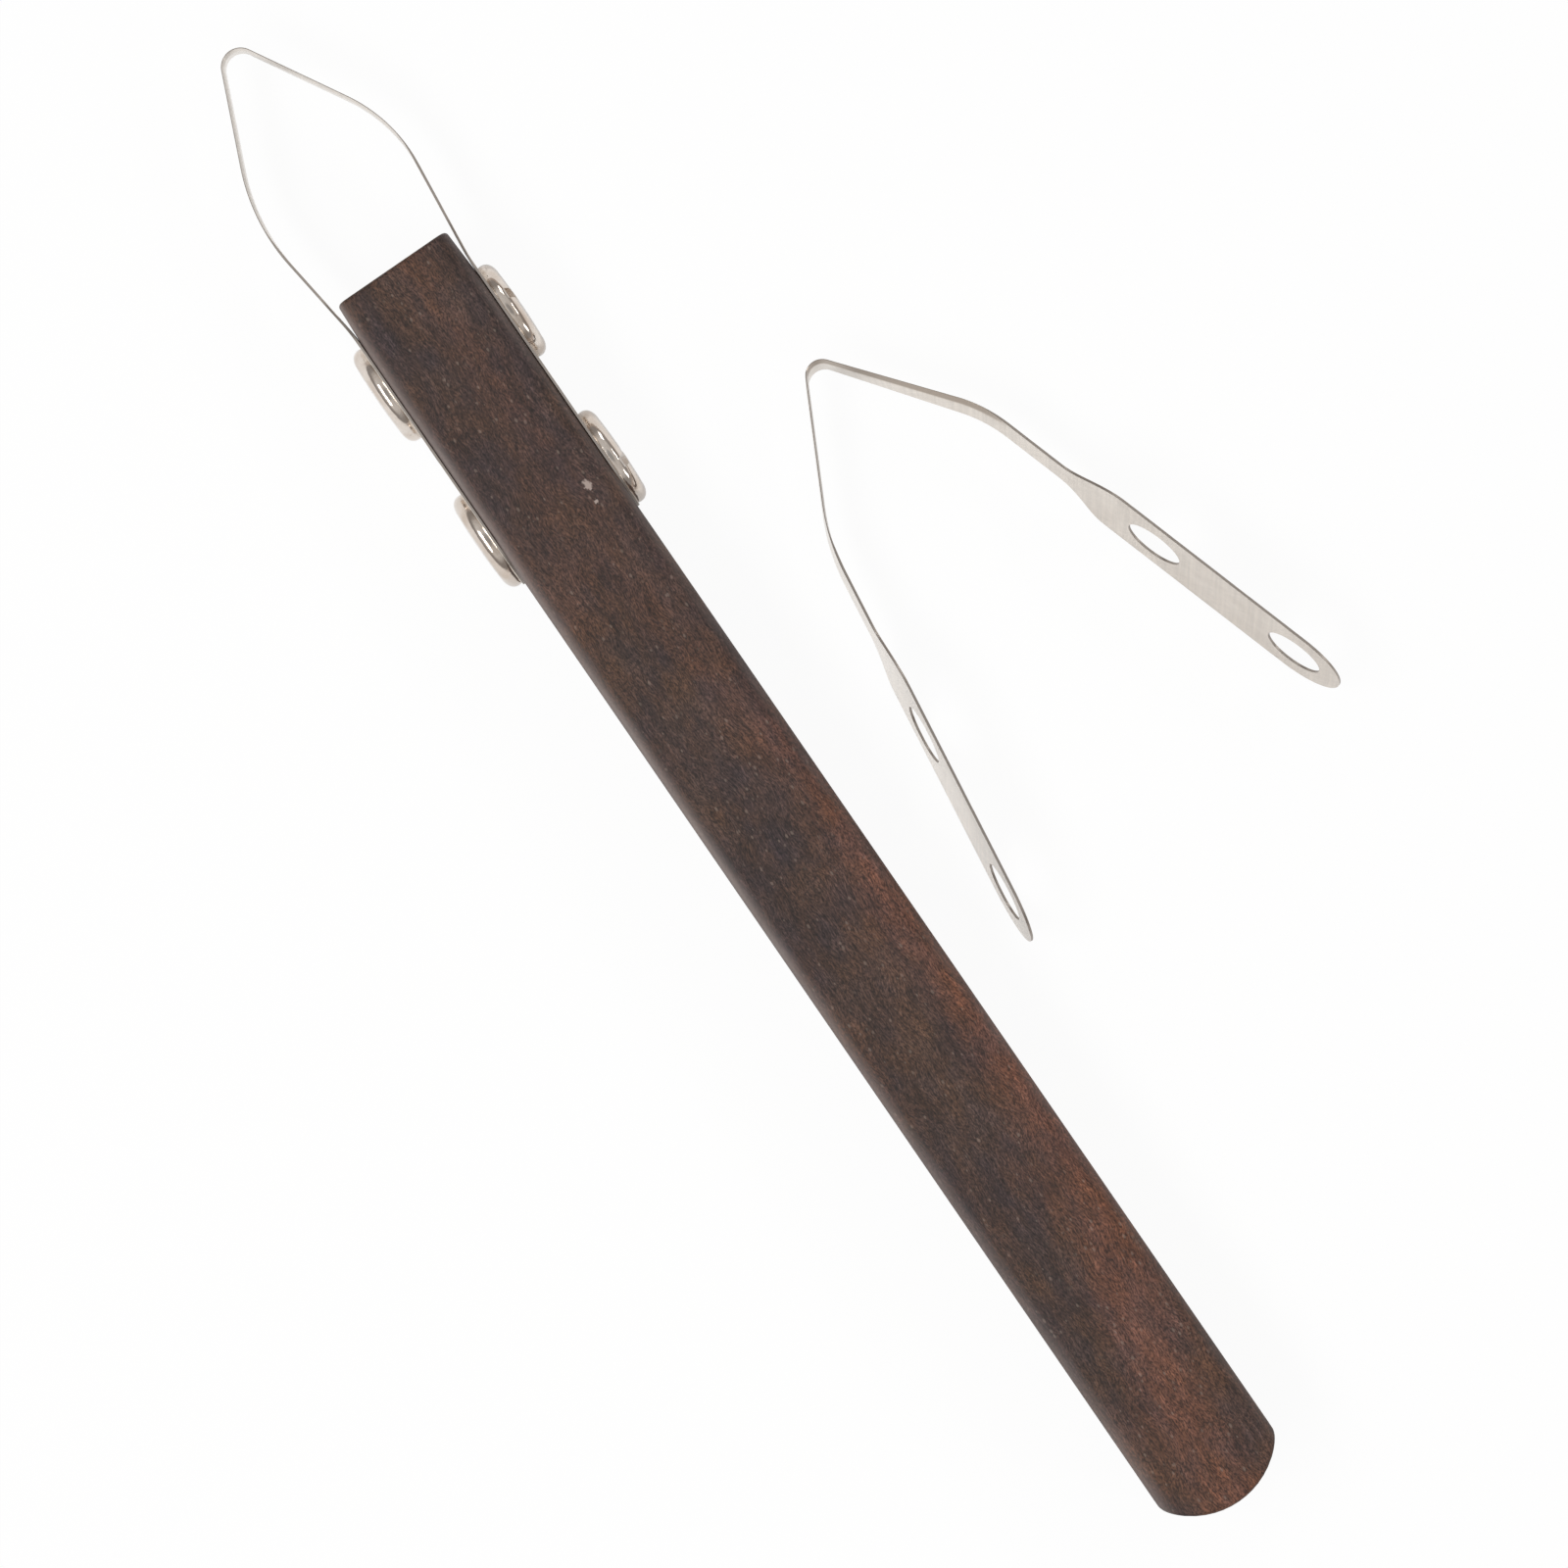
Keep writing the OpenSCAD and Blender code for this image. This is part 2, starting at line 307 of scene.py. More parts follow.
class Graph:
    """A short way to lay and join the nodes of a material, group or world."""

    def __init__(self, tree: Tree) -> None:
        """Keeps the tree and empties it."""
        self.tree = tree
        tree.nodes.clear()

    def add(self, kind: str, feeds: dict | None = None, **settings: object) -> bpy.types.Node:
        """Adds a node.

        Args:
            kind: Blender's name for the node type, without its ShaderNode prefix.
            feeds: Input names or numbers, each with a value or a socket to join.
            settings: Properties to set on the node first.

        Returns:
            The node.
        """
        prefix = "" if kind.startswith("Node") else "ShaderNode"
        node = self.tree.nodes.new(prefix + kind)
        for setting, value in settings.items():
            setattr(node, setting, value)
        for key, value in (feeds or {}).items():
            if isinstance(value, Socket):
                self.tree.links.new(value, node.inputs[key])
            else:
                node.inputs[key].default_value = value
        return node

    def group(self, tree: Tree, place: Socket, **feeds: Value) -> Sockets:
        """Places a node group at a place, with its other inputs, and returns its outputs."""
        return self.add("Group", {"Vector": place, **feeds}, node_tree=tree).outputs

    def mark(self, name: str) -> Socket:
        """The value that a mesh keeps under a name."""
        return self.add("Attribute", attribute_name=name).outputs["Fac"]

    def math(self, operation: str, *values: Value, clamp: bool = False) -> Socket:
        """Adds a Math node and returns its output."""
        feeds = dict(enumerate(values))
        return self.add("Math", feeds, operation=operation, use_clamp=clamp).outputs[0]

    def vector(self, operation: str, first: Socket, second: Socket | Point3) -> Socket:
        """Adds a VectorMath node for two vectors and returns its vector."""
        return self.add("VectorMath", {0: first, 1: second}, operation=operation).outputs[0]

    def scaled(self, vector: Socket, factor: Value) -> Socket:
        """Multiplies a vector or a colour by a number."""
        return self.add("VectorMath", {0: vector, "Scale": factor}, operation="SCALE").outputs[0]

    def stretched(self, place: Socket, along: Socket, across: Socket) -> Socket:
        """Multiplies a place by along in X, and by across in Y and Z."""
        factors = self.add("CombineXYZ", {"X": along, "Y": across, "Z": across})
        return self.vector("MULTIPLY", place, factors.outputs[0])

    def span(self, value: Socket, low: Value, high: Value, to: Point2 = (0.0, 1.0)) -> Socket:
        """Maps low..high softly to the range to, clamped, and returns the output."""
        feeds = {"Value": value, "From Min": low, "From Max": high, "To Min": to[0], "To Max": to[1]}
        return self.add("MapRange", feeds, interpolation_type="SMOOTHSTEP").outputs["Result"]

    def blend(
        self, share: Value, first: Socket | Colour, second: Socket | Colour, way: str = "MIX"
    ) -> Socket:
        """Mixes two colours by a share and returns the output."""
        feeds = {0: share, 6: first, 7: second}
        return self.add("Mix", feeds, data_type="RGBA", blend_type=way).outputs[2]

    def tint(self, tone: Socket, mask: Socket, strength: float, second: Colour) -> Socket:
        """Lays a second colour over a tone where the mask is, up to a strength."""
        return self.blend(self.math("MULTIPLY", mask, strength), tone, second)

    def shade(self, tone: Socket, mask: Socket, low: float, high: float) -> Socket:
        """Multiplies a colour by low where the mask is 0, up to high where it is 1."""
        factor = self.add("MapRange", {"Value": mask, "To Min": low, "To Max": high})
        return self.scaled(tone, factor.outputs["Result"])


def colour(red: float, green: float, blue: float) -> Colour:
    """Linear colour of a tone written in screen values.

    Args:
        red: Red, from 0 to 255.
        green: Green, from 0 to 255.
        blue: Blue, from 0 to 255.

    Returns:
        The colour, with full cover.
    """

    def linear(value: float) -> float:
        """Undoes the screen's curve for one channel."""
        share = value / 255
        return share / 12.92 if share <= 0.04045 else ((share + 0.055) / 1.055) ** 2.4

    return (linear(red), linear(green), linear(blue), 1.0)


def new_group(
    name: str, takes: dict[str, float], gives: Sequence[str]
) -> tuple[Tree, Graph, Sockets]:
    """Starts a shader node group whose first input is the place, called Vector.

    Args:
        name: Name of the group.
        takes: Its value inputs with their defaults.
        gives: Names of its value outputs.

    Returns:
        The tree, its graph and the sockets that bring its inputs in.
    """
    tree = bpy.data.node_groups.new(name, "ShaderNodeTree")
    graph = Graph(tree)
    sockets = tree.interface
    sockets.new_socket(name="Vector", in_out="INPUT", socket_type="NodeSocketVector")
    for socket, value in takes.items():
        made = sockets.new_socket(name=socket, in_out="INPUT", socket_type="NodeSocketFloat")
        made.default_value = value
    for socket in gives:
        sockets.new_socket(name=socket, in_out="OUTPUT", socket_type="NodeSocketFloat")
    return tree, graph, graph.add("NodeGroupInput").outputs


@dataclass(frozen=True)
class SharedEffects:
    """Shader groups that more than one finish uses."""

    patches: Tree
    streaks: Tree
    specks: Tree

    @classmethod
    def build(cls) -> "SharedEffects":
        """Builds all the groups once."""
        return cls(cls.patch_group(), cls.streak_group(), cls.speck_group())

    @staticmethod
    def patch_group() -> Tree:
        """Builds broad soft patches, from 0 to 1; Size is across and Stretch lengthens X.

        Returns:
            The group's tree.
        """
        takes = {"Size": 8.0, "Stretch": 4.0, "Contrast": 0.5, "Seed": 0.0}
        tree, graph, given = new_group("soft patches", takes, ["Mask"])
        across = graph.math("DIVIDE", 1.0, given["Size"])
        along = graph.math("DIVIDE", across, given["Stretch"])
        place = graph.stretched(given["Vector"], along, across)
        feeds = {"Vector": place, "W": given["Seed"], "Scale": 1.0, "Detail": 3.0}
        cloud = graph.add("TexNoise", feeds, noise_dimensions="4D")
        low = graph.math("SUBTRACT", 0.5, given["Contrast"])
        high = graph.math("ADD", 0.5, given["Contrast"])
        graph.add("NodeGroupOutput", {"Mask": graph.span(cloud.outputs["Fac"], low, high)})
        return tree

    @staticmethod
    def streak_group() -> Tree:
        """Builds wavering lines along X, such as grain: broad ones in Mask, thin ones in Fine.

        Returns:
            The group's tree.
        """
        takes = {"Width": 0.2, "Length": 8.0, "Waver": 0.3, "Seed": 0.0}
        tree, graph, given = new_group("fine streaks", takes, ["Mask", "Fine"])
        sway = graph.add("TexNoise", {"Vector": given["Vector"], "Scale": 0.12, "Detail": 2.0})
        offset = graph.vector("SUBTRACT", sway.outputs["Color"], (0.5, 0.5, 0.5))
        bent = graph.vector("ADD", given["Vector"], graph.scaled(offset, given["Waver"]))
        across = graph.math("DIVIDE", 1.0, given["Width"])
        along = graph.math("DIVIDE", 1.0, given["Length"])
        even = {
            "Vector": graph.stretched(bent, along, across), "W": given["Seed"], "Roughness": 0.6,
        }
        sharp = (0.32, 0.68)
        lines = {}
        for socket, scale, detail in (("Mask", 0.5, 3.0), ("Fine", 1.6, 2.0)):
            feeds = {**even, "Scale": scale, "Detail": detail}
            cloud = graph.add("TexNoise", feeds, noise_dimensions="4D")
            lines[socket] = graph.span(cloud.outputs["Fac"], *sharp)
        graph.add("NodeGroupOutput", lines)
        return tree

    @staticmethod
    def speck_group() -> Tree:
        """Builds scattered small specks, such as pores or pits; Share is how many are kept.

        Returns:
            The group's tree.
        """
        takes = {"Spacing": 1.0, "Size": 0.12, "Stretch": 2.0, "Share": 0.5}
        tree, graph, given = new_group("small specks", takes, ["Mask"])
        across = graph.math("DIVIDE", 1.0, given["Spacing"])
        along = graph.math("DIVIDE", across, given["Stretch"])
        place = graph.stretched(given["Vector"], along, across)
        soft_share, faintest = 0.6, 0.25
        cells = graph.add("TexVoronoi", {"Vector": place, "Scale": 1.0}).outputs
        radius = graph.math("MULTIPLY", given["Size"], across)
        lots = graph.add("SeparateColor", {"Color": cells["Color"]}).outputs
        kept = graph.math("LESS_THAN", lots[0], given["Share"])
        uneven = graph.math("MULTIPLY", radius, graph.math("ADD", 0.5, lots[1]))
        out_share = graph.math("DIVIDE", cells["Distance"], uneven)
        soft = graph.span(graph.math("SUBTRACT", 1.0, out_share, clamp=True), 0.0, soft_share)
        strength = graph.math("ADD", faintest, graph.math("MULTIPLY", 1 - faintest, lots[2]))
        shown = graph.math("MULTIPLY", graph.math("MULTIPLY", soft, kept), strength)
        graph.add("NodeGroupOutput", {"Mask": shown})
        return tree


def millimetres(graph: Graph) -> Socket:
    """The point's own place in millimetres, which moves with its body."""
    return graph.scaled(graph.add("TexCoord").outputs["Object"], 1 / MM)


def new_material(name: str) -> tuple[Material, Graph]:
    """Starts a node material.

    Args:
        name: Name of the material.

    Returns:
        The material and its graph.
    """
    material = bpy.data.materials.new(name)
    material.use_nodes = True
    return material, Graph(material.node_tree)


def finish_surface(graph: Graph, feeds: dict, height: Socket, depth: float) -> None:
    """Adds the Principled shader, a bump in millimetres and the output.

    Args:
        graph: The material's graph.
        feeds: Inputs of the Principled shader.
        height: Height of the fine relief, from 0 to 1.
        depth: Depth of that relief, in millimetres.
    """
    bump = graph.add("Bump", {"Height": height, "Strength": 1.0, "Distance": depth * MM})
    shader = graph.add("BsdfPrincipled", {**feeds, "Normal": bump.outputs["Normal"]})
    graph.add("OutputMaterial", {"Surface": shader.outputs["BSDF"]})


# Finishes


@dataclass(frozen=True)
class DarkWood:
    """Dense dark hardwood, sanded and lightly oiled: mottled grey and brown, a red streak.

    Each nick has a middle and a half size. Its outline is where the share of that size, with
    torn_edge times a noise added, passes nick_edge.
    """

    grey: Colour = colour(60, 46.5, 45)
    brown: Colour = colour(78.5, 58, 47.5)
    red: Colour = colour(110, 72, 57)
    cool: Colour = (0.89, 0.98, 1.14, 1.0)
    warm: Colour = (1.11, 1.02, 0.86, 1.0)
    speck: Colour = colour(156, 138, 126)
    speck_strength: float = 0.34
    # Pale tone of the long edges: partly rubbed wood, partly painted light on the lit side.
    rubbed_and_lit: Colour = colour(151, 140, 136)
    nick_tone: Colour = colour(178, 162, 154)
    nick_strength: float = 0.85
    nicks: tuple[tuple[Point3, Point3], ...] = (
        ((42.2, -3.6, 12.0), (0.62, 0.36, 0.5)),
        ((40.5, -3.4, 12.0), (0.3, 0.2, 0.5)),
    )
    torn_edge: float = 2.4
    nick_edge: Point2 = (2.25, 1.85)
    roughness: Point2 = (0.5, 0.66)
    specular: float = 0.35
    relief: float = 0.015

    def nick(self, graph: Graph, place: Socket) -> Socket:
        """Adds the small pale nicks in the top face, with torn outlines.

        Args:
            graph: The material's graph.
            place: The point's place in millimetres.

        Returns:
            Their mask.
        """
        ragged = graph.add("TexNoise", {"Vector": place, "Scale": 4.0, "Detail": 3.0})
        torn = graph.math("MULTIPLY", ragged.outputs["Fac"], self.torn_edge)
        masks = []
        for middle, size in self.nicks:
            share = graph.vector("DIVIDE", graph.vector("SUBTRACT", place, middle), size)
            length = graph.add("VectorMath", {0: share}, operation="LENGTH").outputs["Value"]
            masks.append(graph.span(graph.math("ADD", length, torn), *self.nick_edge))
        return graph.math("MAXIMUM", *masks)

    def build(self, shared: SharedEffects) -> Material:
        """Builds the material.

        Args:
            shared: The shader groups that it places.

        Returns:
            The material.
        """
        material, graph = new_material("dark hardwood")
        place = millimetres(graph)
        patches, streaks, specks = shared.patches, shared.streaks, shared.specks
        clouds = graph.group(patches, place, Size=3.6, Stretch=1.9, Contrast=0.2, Seed=2.7)
        hues = graph.group(patches, place, Size=2.2, Stretch=2.2, Contrast=0.2, Seed=6.3)
        mottle = graph.group(patches, place, Size=0.9, Stretch=2.0, Contrast=0.3, Seed=9.1)
        fibres = graph.group(streaks, place, Width=0.18, Length=0.55, Waver=2.5)
        hairs = graph.group(streaks, place, Width=0.2, Length=4.5, Waver=3.0, Seed=5.8)
        bands = graph.group(streaks, place, Width=0.5, Length=9.0, Waver=4.0, Seed=3.3)
        pale = graph.group(specks, place, Spacing=0.3, Size=0.12, Stretch=1.9, Share=0.13)
        pores = graph.group(specks, place, Spacing=0.42, Size=0.2, Stretch=2.8, Share=0.5)
        nick = self.nick(graph, place)

        tone = graph.blend(clouds["Mask"], self.grey, self.brown)
        broken = graph.math("ADD", 0.5, graph.math("MULTIPLY", 0.5, mottle["Mask"]))
        red_share = graph.math("MULTIPLY", graph.mark("red_band"), broken, clamp=True)
        tone = graph.blend(red_share, tone, self.red)
        hue = graph.blend(hues["Mask"], self.cool, self.warm)
        tone = graph.blend(1.0, tone, hue, "MULTIPLY")
        for mask, outside, inside in (
            (bands["Mask"], 0.86, 1.14),
            (mottle["Mask"], 0.9, 1.08),
            (hairs["Mask"], 0.87, 1.12),
            (hairs["Fine"], 0.68, 1.3),
            (fibres["Mask"], 0.86, 1.12),
            (fibres["Fine"], 0.3, 1.65),
            (pores["Mask"], 1.0, 0.68),
        ):
            tone = graph.shade(tone, mask, outside, inside)
        tone = graph.tint(tone, pale["Mask"], self.speck_strength, self.speck)
        # Edge wear with painted light: the long edges are painted paler, most on the lit plain side.
        tone = graph.blend(graph.mark("edge_wear_and_painted_light"), tone, self.rubbed_and_lit)
        tone = graph.tint(tone, nick, self.nick_strength, self.nick_tone)

        lines = graph.math("ADD", fibres["Mask"], fibres["Fine"])
        height = graph.math("SUBTRACT", graph.math("MULTIPLY", lines, 0.5), nick)
        rough = graph.span(fibres["Fine"], 0.0, 1.0, self.roughness)
        feeds = {"Base Color": tone, "Roughness": rough, "Specular IOR Level": self.specular}
        finish_surface(graph, feeds, height, self.relief)
        return material


@dataclass(frozen=True)
class StripSteel:
    """Thin spring strip with crossed scratches, a painted reflection paler at one end, dull where
    cut.
    """

    pale: Colour = colour(241, 235, 227)
    dull: Colour = colour(206, 197, 187)
    ground: Colour = colour(168, 156, 144)
    ground_edge: float = 0.3
    cut: Colour = colour(168, 160, 153)
    pit: Colour = colour(150, 138, 126)
    pit_strength: float = 0.4
    # Share of the pale tone at the line's start; its fall to the far end is a painted reflection.
    start_painted_reflection: float = 0.85
    patch_polish: float = 0.3
    scratch_turns: Point2 = (1.32, -1.1)
    scratch_weights: Point2 = (0.65, 0.35)
    scratch_shade: Point2 = (0.9, 1.1)
    roughness: Point2 = (0.16, 0.22)
    cut_roughness: float = 0.36
    relief: float = 0.001

    def build(self, shared: SharedEffects) -> Material:
        """Builds the material.

        Args:
            shared: The shader groups that it places.

        Returns:
            The material.
        """
        material, graph = new_material("strip steel")
        place = millimetres(graph)
        scratches = []
        for turn, weight in zip(self.scratch_turns, self.scratch_weights):
            slant = {"Vector": place, "Rotation": (0.0, turn, 0.0), "Scale": (1.0, 0.1, 1.0)}
            slanted = graph.add("Mapping", slant).outputs[0]
            lines = graph.group(
                shared.streaks, slanted, Width=0.42, Length=24.0, Waver=0.2, Seed=turn
            )
            scratches.append(graph.math("MULTIPLY", lines["Fine"], weight))
        crossed = graph.math("ADD", *scratches)
        patches = graph.group(
            shared.patches, place, Size=2.4, Stretch=1.5, Contrast=0.25, Seed=5.3
        )
        pits = graph.group(shared.specks, place, Spacing=1.3, Size=0.12, Stretch=1.0, Share=0.35)
        cut_edge = graph.mark("cut_edge")

        uneven = graph.math("MULTIPLY", patches["Mask"], self.patch_polish)
        # Painted reflection: paler towards the line's start, duller towards its far end.
        falling = graph.math("SUBTRACT", self.start_painted_reflection, graph.mark("far_end"))
        tone = graph.blend(graph.math("ADD", falling, uneven, clamp=True), self.dull, self.pale)
        tone = graph.shade(tone, crossed, *self.scratch_shade)
        ground = graph.span(graph.mark("bevel"), 0.0, self.ground_edge)
        tone = graph.blend(ground, tone, self.ground)
        tone = graph.tint(tone, pits["Mask"], self.pit_strength, self.pit)
        tone = graph.blend(cut_edge, tone, self.cut)

        brushed = graph.span(crossed, 0.0, 1.0, self.roughness)
        rough = graph.math("ADD", brushed, cut_edge, clamp=True)
        rough = graph.math("MINIMUM", rough, self.cut_roughness)
        feeds = {"Base Color": tone, "Metallic": 1.0, "Roughness": rough}
        finish_surface(graph, feeds, crossed, self.relief)
        return material


@dataclass(frozen=True)
class PolishedNickel:
    """Polished nickel plate with a warm tint, slight waves, hairlines and small pits."""

    bright: Colour = colour(236, 229, 222)
    dull: Colour = colour(206, 191, 177)
    pit: Colour = colour(112, 92, 78)
    pit_strength: float = 0.6
    hairline_shade: Point2 = (0.9, 1.04)
    hairline_height: float = 0.04
    roughness: Point2 = (0.13, 0.06)
    relief: float = 0.016

    def build(self, shared: SharedEffects) -> Material:
        """Builds the material.

        Args:
            shared: The shader groups that it places.

        Returns:
            The material.
        """
        material, graph = new_material("polished nickel")
        place = millimetres(graph)
        patches, streaks, specks = shared.patches, shared.streaks, shared.specks
        waves = graph.group(patches, place, Size=0.9, Stretch=1.6, Contrast=0.4, Seed=4.4)
        tarnish = graph.group(patches, place, Size=1.6, Stretch=1.4, Contrast=0.4, Seed=7.9)
        hairlines = graph.group(streaks, place, Width=0.12, Length=1.6, Waver=0.9, Seed=3.1)
        pits = graph.group(specks, place, Spacing=0.7, Size=0.12, Stretch=1.0, Share=0.3)
        tone = graph.blend(tarnish["Mask"], self.dull, self.bright)
        tone = graph.shade(tone, hairlines["Fine"], *self.hairline_shade)
        tone = graph.tint(tone, pits["Mask"], self.pit_strength, self.pit)
        fine = graph.math("MULTIPLY", hairlines["Fine"], self.hairline_height)
        height = graph.math("ADD", waves["Mask"], fine)
        rough = graph.span(tarnish["Mask"], 0.0, 1.0, self.roughness)
        feeds = {"Base Color": tone, "Metallic": 1.0, "Roughness": rough}
        finish_surface(graph, feeds, height, self.relief)
        return material


# Handle


@dataclass
class Handle:
    """Flat wooden handle: square head end, parallel flats, rounded butt, two cross holes.

    The ramps of the red streak and of the edge wear go by the distance from the head end.
    The edge wear carries painted light: its pale tone follows the rounded long edges as lit
    wood would, most on the plain side, where the light falls. In it, a step up the side
    counts as wear_and_light_up_side steps across the face. The butt's crown bends the rows
    of points up to crown_reach times its height away.
    """

    length: float = 137.8
    width: float = 12.6
    thickness: float = 12.0
    head_inset: float = 0.25
    head_taper: float = 5.5
    butt_swell: float = 0.1
    butt_crown: float = 3.4
    crown_reach: float = 3.0
    long_edge_r: float = 1.3
    end_edge_r: float = 0.5
    head_corner_r: float = 0.4
    butt_corner_r: float = 0.7
    butt_corner_share: float = 0.45
    bore_d: float = 5.2
    bore_xs: Point2 = (59.8, 43.4)
    flat_end_x: float = 38.2
    sanding_depth: float = 0.03
    sanding_size: Point3 = (19, 6, 1)
    sanding_shift: float = 3.1
    column_step: float = 0.8
    row_step: float = 1.0
    edge_steps: int = 8
    wall_steps: int = 8
    bore_steps: int = 72
    red_turn: Ramp = Ramp(35, 65, -2.0, -5.6)
    red_return: Ramp = Ramp(100, 130, 0.0, 5.4)
    red_width: Ramp = Ramp(60, 120, 2.2, 3.4)
    red_strength: Ramp = Ramp(40, 75, 0.25, 1.0)
    red_blots: float = 0.35
    red_blot_size: Point3 = (14, 4, 4)
    red_blot_shift: float = 5.0
    # Edge wear and painted light: the pale tone follows each rounded long edge as lit wood would.
    wear_and_light_reach: float = 1.4
    wear_and_light_up_side: float = 0.5
    wear_and_light_falloff: float = 1.8
    wear_and_light_along: Ramp = Ramp(60, 110, 1.0, 0.5)
    plain_side_wear_and_light: float = 0.8
    screw_side_wear_and_light: float = 0.3
    wear_and_light_blots: float = 0.18
    wear_and_light_blot_size: Point3 = (5, 1, 1)

    @property
    def half_length(self) -> float:
        """Distance from the origin to either end."""
        return self.length / 2

    @property
    def middle_z(self) -> float:
        """Height of the middle of the handle, the bores and the fitted blade."""
        return self.thickness / 2

    def half_width(self, from_head: float, from_butt: float) -> float:
        """Half the width at a distance from each end.

        Args:
            from_head: Distance from the square head end.
            from_butt: Distance from the butt's crown.

        Returns:
            Half the width there, with the corners rounded.
        """
        half = self.width / 2
        if from_head < self.head_taper:
            half -= self.head_inset * (1 - from_head / self.head_taper)
        flats_end = self.half_length + self.flat_end_x
        if from_butt < flats_end:
            half += self.butt_swell * (1 - from_butt / flats_end)
        for distance, r, share in (
            (from_head, self.head_corner_r, 1.0),
            (from_butt, self.butt_corner_r, self.butt_corner_share),
        ):
            if distance < r:
                half -= share * (r - math.sqrt(r * r - (r - distance) ** 2))
        return half

    @staticmethod
    def drop(distance: float, r: float) -> float:
        """Depth of a rounded edge of radius r at a distance from the edge."""
        inside = r - min(distance, r)
        return r - math.sqrt(max(0.0, r * r - inside * inside))

    def edge_offsets(self, r: float) -> list[float]:
        """Distances from an edge of radius r at which its rounding is sampled."""
        return [r * (1 - math.cos(turn)) for turn in evenly(0.0, QUARTER, self.edge_steps)]

    def rows(self) -> list[Point2]:
        """Lays out the rows of points.

        Returns:
            Every row's distances from the head end and from the butt's crown.
        """
        near = self.edge_offsets(self.end_edge_r)
        far = [self.length - d for d in reversed(near)]
        count = round((far[0] - near[-1]) / self.row_step)
        from_head = near + evenly(near[-1], far[0], count)[1:-1] + far
        return [(d, self.length - d) for d in from_head]

    def crown_shift(self, y: float, from_butt: float) -> float:
        """How far a point moves forward so that the end follows the butt's crown.

        Args:
            y: The point's distance from the handle's middle line.
            from_butt: Its distance from the butt's crown.

        Returns:
            The shift along X.
        """
        half_butt = self.width / 2 + self.butt_swell
        crown_r = (half_butt**2 + self.butt_crown**2) / (2 * self.butt_crown)
        share = max(0.0, 1 - from_butt / (self.crown_reach * self.butt_crown))
        return (crown_r - math.sqrt(crown_r**2 - y * y)) * share

    def top_points(self) -> list[list[Vector]]:
        """Lays out the top face.

        Returns:
            Its rows of points, from the head end to the butt.
        """
        offsets = self.edge_offsets(self.long_edge_r)
        count = round(2 * (self.width / 2 - self.long_edge_r) / self.column_step)
        table = []
        for from_head, from_butt in self.rows():
            half = self.half_width(from_head, from_butt)
            flat = half - self.long_edge_r
            ys = (
                [half - e for e in offsets]
                + evenly(flat, -flat, count)[1:-1]
                + [e - half for e in reversed(offsets)]
            )
            row = []
            for y in ys:
                side_drop = self.drop(half - abs(y), self.long_edge_r)
                end_drop = self.drop(min(from_head, from_butt), self.end_edge_r)
                depth = math.hypot(side_drop, end_drop)
                x = self.half_length - from_head + self.crown_shift(y, from_butt)
                row.append(Vector((x, y, self.thickness - depth - self.sanding(x, y))))
            table.append(row)
        return table

    def sanding(self, x: float, y: float) -> float:
        """Slight unevenness that hand sanding leaves on the broad faces."""
        wave = unevenness((x, y, 0.0), self.sanding_size, self.sanding_shift)
        return self.sanding_depth * (0.5 + 0.5 * wave)

    def skin(self) -> Skin:
        """Closes the top, the underside and the walls.

        Returns:
            The handle without its cross holes.
        """
        skin = Skin()
        top = self.top_points()
        top_rows = [skin.add_row(row) for row in top]
        low_rows = [
            skin.add_row([(p.x, p.y, self.thickness - p.z) for p in row]) for row in top
        ]
        skin.join_rows(top_rows)
        skin.join_rows(low_rows)

        def rim(rows: list[list[int]]) -> list[int]:
            """Point numbers round the edge of a face, in order."""
            left, right = [row[0] for row in rows], [row[-1] for row in rows]
            return left + rows[-1][1:-1] + right[::-1] + rows[0][-2:0:-1]

        high_rim, low_rim = rim(top_rows), rim(low_rows)
        wall = [high_rim]
        for share in evenly(0.0, 1.0, self.wall_steps)[1:-1]:
            pairs = zip(high_rim, low_rim)
            row = [skin.points[high].lerp(skin.points[low], share) for high, low in pairs]
            wall.append(skin.add_row(row))
        skin.join_rows([*wall, low_rim], closed=True)
        return skin

    def bore_cutter(self, x: float) -> Mesh:
        """Makes the bar that drills a cross hole.

        Args:
            x: Where along the handle the hole goes.

        Returns:
            A round bar across the handle.
        """
        reach, r = self.width, self.bore_d / 2
        profile = [(0.0, -reach), (r, -reach), (r, reach), (0.0, reach)]
        mesh = turned_mesh("bore", profile, self.bore_steps)
        place = Matrix.Translation((x, 0, self.middle_z))
        mesh.transform(place @ Matrix.Rotation(QUARTER, 4, "X"))
        return mesh

    def red_band(self, p: Vector) -> float:
        """Redness of the wood, in a streak that wanders from one side to the middle.

        Args:
            p: A point of the handle.

        Returns:
            The share of the redder wood there.
        """
        away = self.half_length - p.x
        wander = self.red_turn.at(away) + self.red_return.at(away)
        near = math.exp(-(((p.y - wander) / self.red_width.at(away)) ** 2))
        blot = unevenness(p, self.red_blot_size, self.red_blot_shift)
        return clamped(near * self.red_strength.at(away) + self.red_blots * blot)

    def edge_wear_and_painted_light(self, p: Vector) -> float:
        """Wear and painted light on the long edges, most on the lit plain side and by the head.

        Args:
            p: A point of the handle.

        Returns:
            The share of the pale tone there, partly wear and partly painted light.
        """
        from_side = self.width / 2 - abs(p.y)
        from_face = min(p.z, self.thickness - p.z)
        from_edge = max(from_side, self.wear_and_light_up_side * from_face)
        near = (1 - smooth_share(0.0, self.wear_and_light_reach, from_edge)) ** self.wear_and_light_falloff
        held = self.wear_and_light_along.at(self.half_length - p.x)
